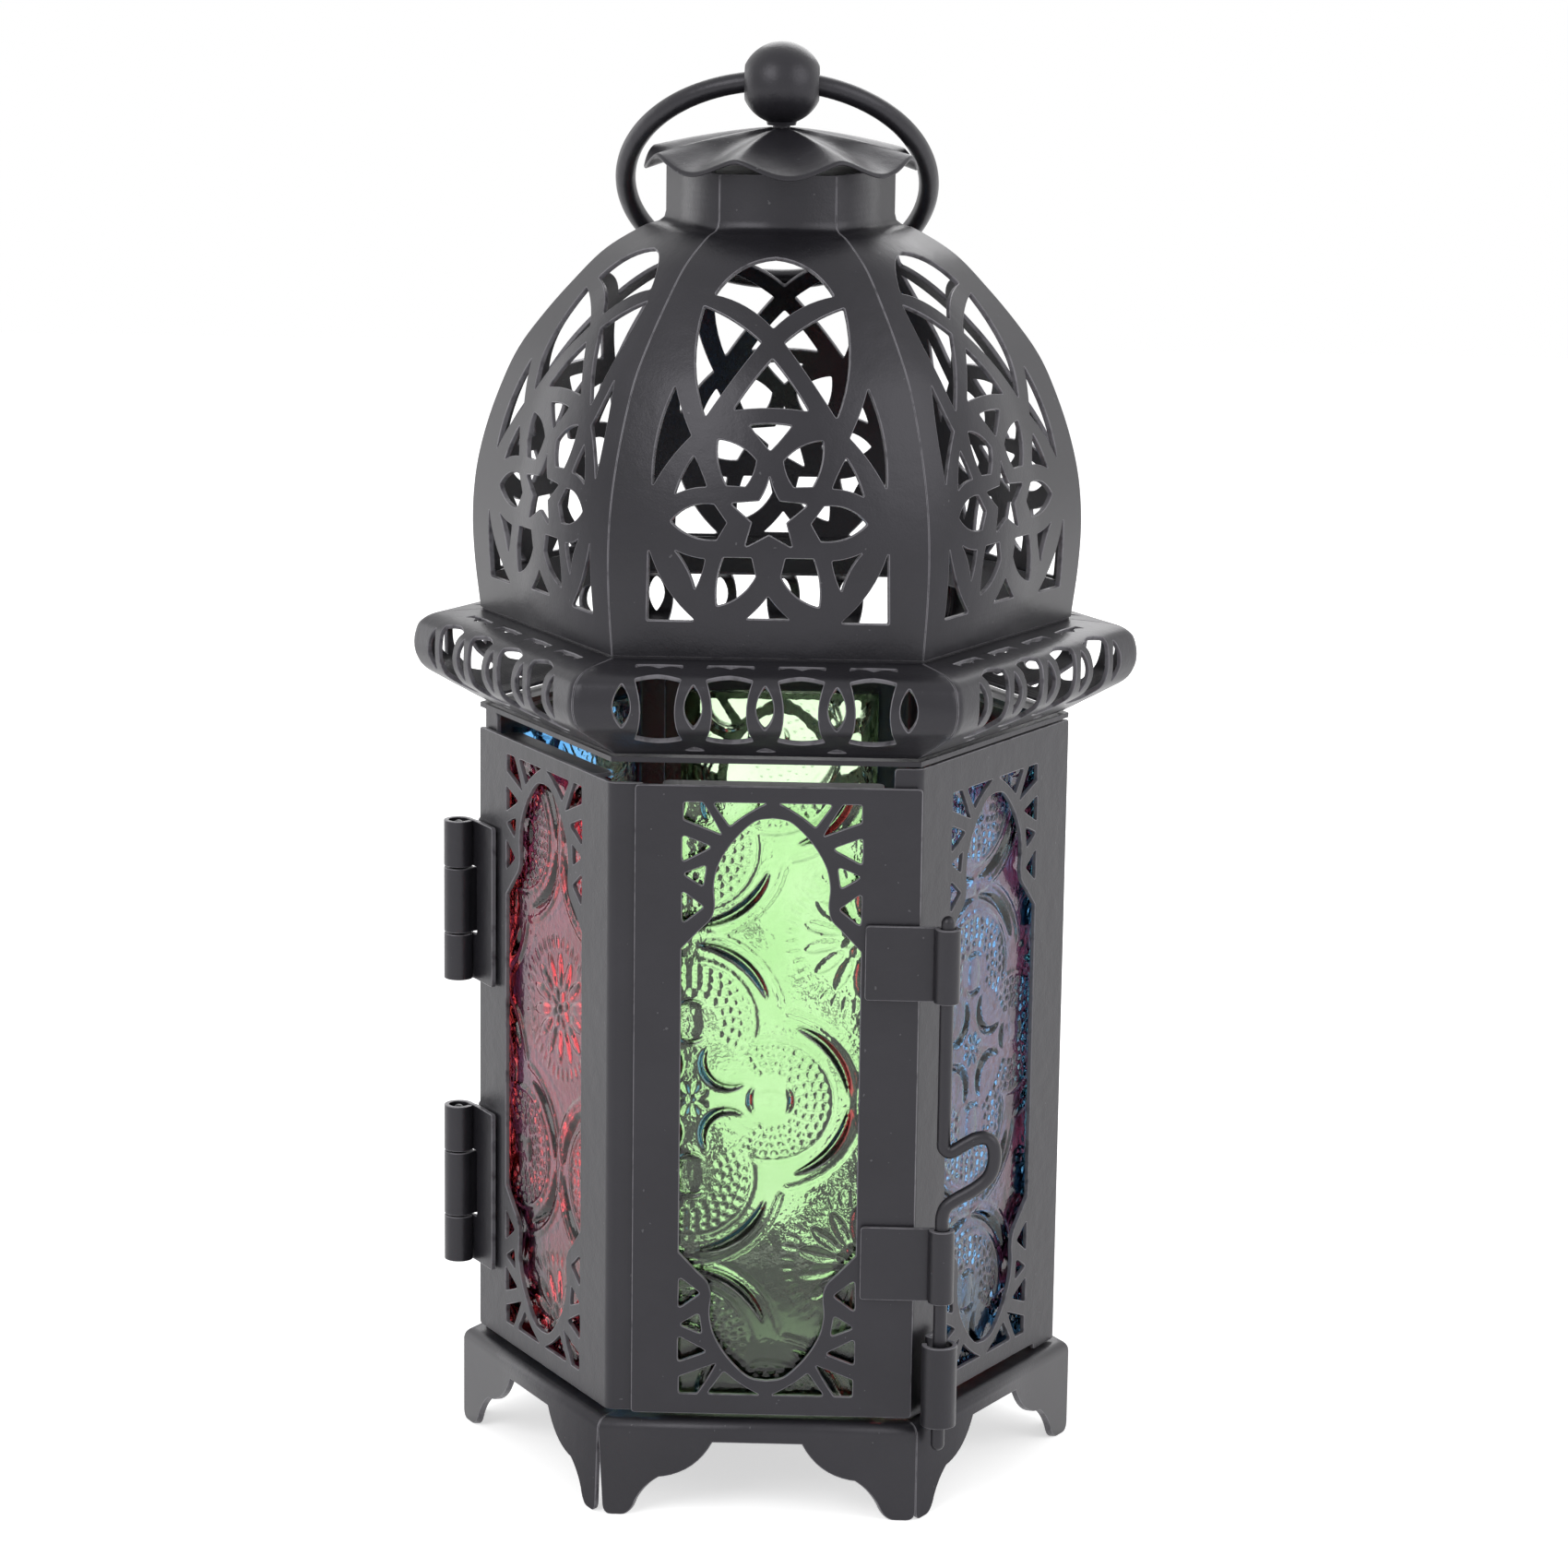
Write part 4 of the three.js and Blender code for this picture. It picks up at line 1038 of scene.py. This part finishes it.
class LANTERN_OT_latch(bpy.types.Operator):
    """Rolled straps, keeper and the drop bolt of bent wire"""
    bl_idname = "lantern.latch"
    bl_label = "Latch"

    def execute(self, context):
        for level, height in STRAPS.items():
            def edge_for(total, height=height):
                return rectangle(0, height - STRAP_HALF, total, height + STRAP_HALF)

            start = (16.0, -DOOR_FRONT - mm("play"))
            strap = strap_piece(start, LATCH_CENTRE, LATCH_RADIUS, 1, edge_for, 0.6)
            settle(strap, f"latch_{level}_strap")
        self.keeper()
        self.bolt()
        return {"FINISHED"}

    def keeper(self):
        """The keeper stands on the right front panel; it is drawn on the front side and turned."""
        turn = -math.pi / 3
        x, y = LATCH_CENTRE
        centre = (x * math.cos(turn) - y * math.sin(turn), x * math.sin(turn) + y * math.cos(turn))
        angles = np.radians(np.linspace(100, 360, 34))
        line = on_circle(centre, LATCH_RADIUS, angles)
        web, seat = centre[0] + LATCH_RADIUS, SEAT_PLANE - FITTING_SHEET
        tail = rounded_line([(web, centre[1]), (web, seat), (web + 6, seat)], [0.9])
        track = Track(np.vstack([line[:-1], tail]))
        edge = soften(rectangle(0, KEEPER[0], track.run[-1], KEEPER[1]), 0.6)
        place, cuts = standing(track, -1), track.bends()
        keeper = folded([edge], place, FITTING_SHEET, 1, cuts_x=cuts, rim=FITTING_RIM)
        settle(keeper, "latch_keeper")

    def bolt(self):
        x, y = LATCH_CENTRE
        handle = [
            (0, 66), (0, 64), (0.1, 62.5), (1.2, 61.9), (3.2, 63.1), (5.2, 64.2), (6.9, 64.2), (7.9, 62.8),
            (8.0, 60.2), (7.1, 57.8), (4.9, 55.8), (2.3, 54.2), (0.6, 52.8), (0, 51), (0, 49),
        ]
        line = [(0, BOLT[1]), *flowing(handle, 5), (0, BOLT[0])]
        wire("latch_bolt", [(x + out, y, up) for out, up in line], PIN_RADIUS)


# Gallery

GALLERY_LOW, GALLERY_RISE = 124.4, 15.3
GALLERY_LIP, GALLERY_BELLY, GALLERY_TOP = 47.6, 59.69, 48.2
GALLERY_LEAST_ROUND = 1.4
PITCH = 11.05
GALLERY_BELOW = [(0, 0), (0.6, 0.248), (0.86, 0.367), (0.967, 0.492), (1, 0.609)]
GALLERY_ABOVE = [(0.98, 0.74), (0.9, 0.86), (0.64, 0.95), (0, 1)]

# Right halves of the openings: x, height above the gallery's foot, bulge of the next edge
RING_HOLE = [(0, 14.2, 0.1), (3.5, 13.7, -0.95), (3.6, 3.6, 0.15), (0, 2.9)]
EYE = [(0, 13.1, 1.35), (0, 6.0)]
SLIT = [(0, 2.0, 0.1), (1.4, 1.2, 0.05), (0, 1.1)]
SLOT = [(0, 15.0), (3.5, 14.98), (3.6, 14.82, -0.1), (0, 14.8)]


def both_halves(right):
    """A closed outline from its right half, which runs clockwise from top to bottom on the middle line."""
    left = []
    for i in range(len(right) - 1, 0, -1):
        bulge = right[i - 1][2] if len(right[i - 1]) > 2 else 0
        left.append((-right[i][0], right[i][1], bulge))
    right = [tuple(point) + (0,) * (3 - len(point)) for point in right[:-1]]
    return right + left


def gallery_track():
    points = []
    for shares, start in ((GALLERY_BELOW, GALLERY_LIP), (GALLERY_ABOVE, GALLERY_TOP)):
        for out, up in shares:
            corner = start + out * (GALLERY_BELLY - start)
            points.append((COS30 * corner, GALLERY_LOW + up * GALLERY_RISE))
    return Track(flowing(points, 6))


class LANTERN_OT_gallery(bpy.types.Operator):
    """Rolled gallery: six pierced bands whose ends turn round the corners"""
    bl_idname = "lantern.gallery"
    bl_label = "Gallery"

    def execute(self, context):
        gap, most = mm("seam") / 2, mm("gallery_round")
        track = gallery_track()
        least = COS30 * GALLERY_LIP
        reach = COS30 * GALLERY_BELLY - least

        def radius(out):
            share = np.clip((out - least) / reach, 0, 1)
            return GALLERY_LEAST_ROUND + (most - GALLERY_LEAST_ROUND) * share

        def straight(run):
            out = track.at(run, 0)[0]
            return out * TAN30 - radius(out) * TAN30

        def half(run):
            out = track.at(run, 0)[0]
            return straight(run) + radius(out) * math.pi / 6 - gap

        def place(u, run, depth):
            surface = track.at(run, 0)[0]
            out, up = track.at(run, depth)
            bend = radius(surface)
            over = np.clip(np.abs(u) - straight(run), 0, None)
            angle = over / bend
            inner = bend - (surface - out)
            x = np.where(over > 0, straight(run) + inner * np.sin(angle), np.abs(u))
            y = np.where(over > 0, surface - bend + inner * np.cos(angle), out)
            return np.sign(u) * x, -y, up

        lines = [side_edge(track, half, 44)]
        for k in np.arange(-2, 2.1, 0.5):
            whole = abs(k - round(k)) < 0.1
            shapes = [EYE] + ([SLIT] if abs(k) < 1.6 else []) if whole else [RING_HOLE, SLOT]
            for shape in shapes:
                line = outline(both_halves(shape), 0.2)
                lines.append([(point[0] + k * PITCH, float(track.run_at_height(GALLERY_LOW + point[1])))
                              for point in line])
        cuts_x = [sign * x for x in np.arange(24.0, 30.2, 0.5) for sign in (1, -1)]
        cuts_y = np.linspace(0.3, track.run[-1] - 0.3, 46)
        settle_round(folded(lines, place, mm("sheet"), cuts_x=cuts_x, cuts_y=cuts_y), "gallery_")
        return {"FINISHED"}


# Dome

DOME_LOW, DOME_RISE, NECK_TOP = 141.8, 61.8, 212.6
DOME_FOOT_HEIGHT = 140.0
DOME_FOOT, DOME_BELLY, NECK = 48.4, 49.7, 18.5
DOME_SHARES = [
    (0.99, 0.107), (1, 0.225), (0.981, 0.343), (0.927, 0.46), (0.844, 0.576), (0.759, 0.665),
    (0.635, 0.751), (0.486, 0.838), (0.317, 0.924), (0.127, 0.984), (0.04, 1),
]

# Openings of a petal: x from its middle, height above the dome's foot, bulge of the next edge
PETAL_MIDDLE = [
    [(8.9, 53.2, 1.3), (0, 58.3, 1.3), (-8.9, 53.2, -0.8), (0, 48.7, -0.8)],
    [(0, 43.8, 0.25), (-5.5, 36.7, -0.45), (5.5, 36.7, 0.25)],
    [(2.9, 34.2, 0.25), (-2.9, 34.2, 0.1), (0, 30.9, 0.1)],
    [(0, 26.4, -0.2), (-1.45, 22.8), (-5.7, 22.5), (-2.4, 19.8), (-3.5, 16.1), (0, 18.1),
     (3.5, 16.1), (2.4, 19.8), (5.7, 22.5), (1.45, 22.8, -0.2)],
    [(0, 7.9, -0.15), (-3, 4.7), (3, 4.7, -0.15)],
]
PETAL_RIGHT = [
    [(10.7, 51.2, 0.5), (2.1, 46.4, -0.2), (10.1, 35.7, 1.4)],
    [(14.9, 39.8, -0.2), (12.5, 32.7, -0.4), (18.0, 25.2, 1.0)],
    [(7.9, 31.9, 0.7), (2.4, 29.0, 0.3), (3.9, 25.4), (6.5, 25.5, 0.6)],
    [(14.9, 19.7, 1.0), (8.6, 22.1), (6.8, 19.6), (8.2, 17.2, 0.9)],
    [(6.8, 14.0, 0), (2.8, 14.0, 0), (2.2, 11.4, 0.9), (7.8, 6.8, 0.5)],
    [(11.8, 29.3, 0.1), (10.0, 25.2, -0.3), (14.3, 24.1, 0.3)],
    [(14.2, 15.0, -0.25), (10.1, 13.8, 0.2), (11.4, 9.5, -0.4)],
    [(18.5, 15.2, -1.0), (11.6, 4.3), (18.6, 4.3)],
]


def grown(corners, by):
    """A closed outline (x, y, bulge), running anticlockwise, moved outwards by a width."""
    spots = np.array(corners, float)[:, :2]
    after = unit(np.roll(spots, -1, axis=0) - spots)
    out = np.stack([after[:, 1], -after[:, 0]], axis=1)
    before = np.roll(out, 1, axis=0)
    share = np.clip(1 + np.sum(out * before, axis=1), 0.45, 2)
    spots = spots + by * (out + before) / share[:, None]
    return [(*spot, corner[2]) for spot, corner in zip(spots, corners)]


def dome_track():
    """From the foot over the belly to a crisp crease, and straight up the neck."""
    points = [(COS30 * DOME_FOOT, DOME_FOOT_HEIGHT)]
    for out, up in DOME_SHARES:
        points.append((COS30 * (NECK + out * (DOME_BELLY - NECK)), DOME_LOW + up * DOME_RISE))
    crease = np.array([COS30 * NECK, DOME_LOW + DOME_RISE + 0.3])
    curve = flowing(points, 7)
    curve = curve[curve[:, 0] > crease[0] + 1.1]
    corner = [np.array(point) for point in quad(curve[-1], crease, crease + (0, 1.4), 6)]
    return Track(np.vstack([curve, corner, [(crease[0], NECK_TOP)]]))


class LANTERN_OT_dome(bpy.types.Operator):
    """Six pierced petals that run up into the neck"""
    bl_idname = "lantern.dome"
    bl_label = "Dome"

    def execute(self, context):
        track = dome_track()
        half, place = facet(track)
        lines = [side_edge(track, half, 70)]
        for shape in PETAL_MIDDLE + PETAL_RIGHT + [mirrored(shape) for shape in PETAL_RIGHT]:
            line = outline(grown(anticlockwise(shape), 0.2), 0.28)
            lines.append([(point[0], float(track.run_at_height(DOME_LOW + point[1]))) for point in line])
        cuts_y = np.linspace(0.6, track.run[-1] - 0.4, 84)
        settle_round(folded(lines, place, mm("sheet"), cuts_y=cuts_y), "dome_petal_")
        return {"FINISHED"}


# Cap, finial and ring

CAP_TOP, CAP_FALL, CAP_FLUTES, CAP_DEPTH, CAP_TURN = 218.9, 4.9, 8, 1.2, 5
BALL_HEIGHT = 225.893
HOLE_RADIUS = 2.75


class LANTERN_OT_cap(bpy.types.Operator):
    """Fluted cap of thin sheet"""
    bl_idname = "lantern.cap"
    bl_label = "Cap"

    def execute(self, context):
        radius, sheet = mm("cap_radius"), mm("sheet")
        outs = np.linspace(1.7, radius - 0.4, 26)
        rim = on_circle((radius - 0.4, -0.4), 0.4, np.linspace(1.2, -1.2, 5))
        profile = [(out, 0) for out in outs] + rim + [(out, -sheet) for out in outs[::-1]]
        cap = spun(profile, 192)
        points = points_of(cap)
        out = np.hypot(points[:, 0], points[:, 1])
        turn = np.arctan2(points[:, 1], points[:, 0]) + math.pi / 2 - math.radians(CAP_TURN)
        share = out / radius
        wave = CAP_DEPTH * (2 * np.abs(np.cos(CAP_FLUTES / 2 * turn)) ** 1.5 - 1)
        points[:, 2] += CAP_TOP - share ** 1.35 * CAP_FALL - share * wave
        move_points(cap, points * MM)
        settle(cap, "cap", angle=35)
        return {"FINISHED"}


class LANTERN_OT_finial(bpy.types.Operator):
    """Finial ball on its neck, drilled across for the ring"""
    bl_idname = "lantern.finial"
    bl_label = "Finial ball"

    def execute(self, context):
        radius = mm("ball_radius")
        foot = CAP_TOP + 0.3 - BALL_HEIGHT
        profile = on_circle((0, 0), radius, np.radians(np.linspace(90, -68, 40)))
        profile += [(2.35, foot + 0.2), (2.3, foot), (1.7, foot), (1.7, foot + 2.0), (0, foot + 2.0)]
        profile = [(0.0 if out < 1e-6 else out, up) for out, up in profile]
        ball = spun(profile, 96)
        scaled(ball, (0, 0, BALL_HEIGHT))
        reach = radius + 1
        half = [(0, reach), (HOLE_RADIUS + 0.2, reach), (HOLE_RADIUS + 0.1, radius - 0.5),
                (HOLE_RADIUS, radius - 0.8)]
        cutter = spun(half + [(out, -up) for out, up in half[::-1]], 48)
        across, deep, along = points_of(cutter).T
        move_points(cutter, np.stack([along, deep, -across], axis=1))
        scaled(cutter, (0, 0, BALL_HEIGHT))
        choose(ball)
        drill = ball.modifiers.new("drill", "BOOLEAN")
        drill.operation = "DIFFERENCE"
        drill.solver = "EXACT"
        drill.object = cutter
        bpy.ops.object.modifier_apply(modifier=drill.name)
        bpy.data.objects.remove(cutter)
        settle(ball, "finial_ball", angle=32)
        return {"FINISHED"}


RING_LEAN, RING_TURN, RING_SETBACK = 44.5, 2.5, 0.45


class LANTERN_OT_ring(bpy.types.Operator):
    """Carrying ring of round wire, its butted ends hidden in the ball"""
    bl_idname = "lantern.ring"
    bl_label = "Carrying ring"

    def execute(self, context):
        radius, gauge = mm("ring_radius"), mm("ring_wire")
        angles = np.linspace(0, 2 * math.pi, 28, endpoint=False)
        ring = spun(on_circle((radius, 0), gauge, angles), 160)
        points = points_of(ring)
        angle = np.arctan2(points[:, 1], points[:, 0]) - math.pi / 2
        joint = np.exp(-(angle / 0.006) ** 2)
        out = np.hypot(points[:, 0], points[:, 1])
        middle = np.stack([points[:, 0] / out * radius, points[:, 1] / out * radius, 0 * out], axis=1)
        points = middle + (points - middle) * (1 - 0.08 * joint)[:, None]
        move = (Matrix.Translation((0, 0, BALL_HEIGHT))
                @ Matrix.Rotation(math.pi / 2 + math.radians(RING_LEAN), 4, "X")
                @ Matrix.Rotation(-math.radians(RING_TURN), 4, "Z")
                @ Matrix.Translation((0, RING_SETBACK - radius, 0)))
        matrix = np.array(move)
        points = points @ matrix[:3, :3].T + matrix[:3, 3]
        move_points(ring, points * MM)
        settle(ring, "carrying_ring", angle=40)
        return {"FINISHED"}


class LANTERN_OT_hidden(bpy.types.Operator):
    """Dress the tying rings, collar and screw, whose CAD shapes stay"""
    bl_idname = "lantern.hidden"
    bl_label = "Inner fittings"

    def execute(self, context):
        for name in ("body_top_ring", "dome_foot_ring", "neck_collar", "finial_screw"):
            node = frame["nodes"][name]
            for place in node.material_slots:
                place.material = finish_for("black_steel")
        return {"FINISHED"}


# Studio

# Name, place, size in metres and power in watts
LAMPS = [
    ("key", (-0.55, -0.75, 0.75), 0.7, 4.0),
    ("fill", (0.75, -0.45, 0.55), 0.7, 2.4),
    ("back", (0.1, 0.8, 0.7), 0.8, 3.6),
    ("left side", (-0.86, 0.45, 0.20), 0.8, 1.7),
    ("right side", (0.86, 0.45, 0.26), 0.8, 0.7),
]
LAMP_AIM = Vector((0, 0, 0.11))

# The camera that was fitted to the photograph
CAMERA_PLACE = (0.020845, -0.771860, 0.278164)
CAMERA_RIGHT = (0.99963552, 0.02699672, 0)
CAMERA_UP = (-0.00570783, 0.21134989, 0.9773938)
CAMERA_BACK = (0.02638643, -0.97703756, 0.21142695)
CAMERA_ROLL = 0.013
CAMERA_LENS, CAMERA_SHIFT = 109.93, 0.0070


class LANTERN_OT_stage(bpy.types.Operator):
    """Pale floor, soft lamps, white background and the camera"""
    bl_idname = "lantern.stage"
    bl_label = "Studio"

    def execute(self, context):
        self.floor()
        self.world(context.scene)
        for settings in LAMPS:
            self.lamp(*settings)
        self.camera(context.scene)
        context.scene.view_settings.view_transform = "Standard"
        return {"FINISHED"}

    def floor(self):
        clear_choice()
        bpy.ops.mesh.primitive_plane_add(size=3, location=(0, 0, 0))
        floor = bpy.context.object
        floor.name = "floor"
        finish = Finish(bpy.data.materials.new("studio_floor"))
        grain = finish.noise(40, 3)
        tone = finish.blend(finish.step(grain, 0.2, 0.8), colour("floor"), (0.92, 0.92, 0.92, 1))
        matt = finish.node("ShaderNodeBsdfDiffuse", None, {"Color": tone})
        lift = finish.node("ShaderNodeEmission", None, {"Color": (1, 1, 1, 1), "Strength": 0.6})
        dark = finish.node("ShaderNodeEmission", None, {"Color": (0, 0, 0, 1), "Strength": 0.0})
        extra = finish.node("ShaderNodeMixShader", None, {0: finish.seen(), 1: dark, 2: lift})
        finish.end_with(finish.node("ShaderNodeAddShader", None, {0: matt, 1: extra}))
        floor.data.materials.append(finish.owner)

    def world(self, scene):
        """White where the camera sees it, and a softer light on everything else."""
        scene.world = bpy.data.worlds.new("studio")
        finish = Finish(scene.world)
        paper = (1, 1, 1, 1)
        soft = finish.node("ShaderNodeBackground", None, {"Color": paper, "Strength": 0.5})
        white = finish.node("ShaderNodeBackground", None, {"Color": paper, "Strength": 1.0})
        mix = finish.node("ShaderNodeMixShader", None, {0: finish.seen(), 1: soft, 2: white})
        finish.end_with(mix, "ShaderNodeOutputWorld")

    def lamp(self, name, place, size, power):
        data = bpy.data.lights.new(name, "AREA")
        data.shape = "DISK"
        data.size = size
        data.energy = power
        lamp = bpy.data.objects.new(name, data)
        bpy.context.scene.collection.objects.link(lamp)
        lamp.location = place
        lamp.visible_camera = False
        aim = LAMP_AIM - Vector(place)
        lamp.rotation_euler = aim.to_track_quat("-Z", "Y").to_euler()

    def camera(self, scene):
        data = bpy.data.cameras.new("camera")
        data.lens = CAMERA_LENS
        data.sensor_width = 36
        data.shift_x = CAMERA_SHIFT
        data.clip_start = 0.01
        data.dof.use_dof = False
        camera = bpy.data.objects.new("camera", data)
        scene.collection.objects.link(camera)
        turn = Matrix((CAMERA_RIGHT, CAMERA_UP, CAMERA_BACK)).transposed().to_4x4()
        turn = turn @ Matrix.Rotation(CAMERA_ROLL, 4, "Z")
        camera.matrix_world = Matrix.Translation(CAMERA_PLACE) @ turn
        scene.camera = camera


class LANTERN_PT_panel(bpy.types.Panel):
    """Sidebar panel with the lantern's pieces"""
    bl_idname = "LANTERN_PT_panel"
    bl_label = "Candle lantern"
    bl_space_type = "VIEW_3D"
    bl_region_type = "UI"
    bl_category = "Lantern"

    def draw(self, context):
        for group in (context.scene.lantern_sizes, context.scene.lantern_colours):
            for name in group.__annotations__:
                self.layout.prop(group, name)
        for operator in PIECES:
            self.layout.operator(operator.bl_idname)


PIECES = [
    LANTERN_OT_base, LANTERN_OT_cup, LANTERN_OT_panels, LANTERN_OT_panes, LANTERN_OT_hinges,
    LANTERN_OT_latch, LANTERN_OT_gallery, LANTERN_OT_dome, LANTERN_OT_cap, LANTERN_OT_finial,
    LANTERN_OT_ring, LANTERN_OT_hidden, LANTERN_OT_stage,
]
CLASSES = [LanternSizes, LanternColours, *PIECES, LANTERN_PT_panel]


def register():
    for item in CLASSES:
        bpy.utils.register_class(item)
    bpy.types.Scene.lantern_sizes = bpy.props.PointerProperty(type=LanternSizes)
    bpy.types.Scene.lantern_colours = bpy.props.PointerProperty(type=LanternColours)


def unregister():
    del bpy.types.Scene.lantern_colours
    del bpy.types.Scene.lantern_sizes
    for item in reversed(CLASSES):
        bpy.utils.unregister_class(item)


def main():
    register()
    for piece in PIECES:
        group, name = piece.bl_idname.split(".")
        getattr(getattr(bpy.ops, group), name)()
    bpy.context.view_layer.update()


if __name__ == "__main__":
    main()
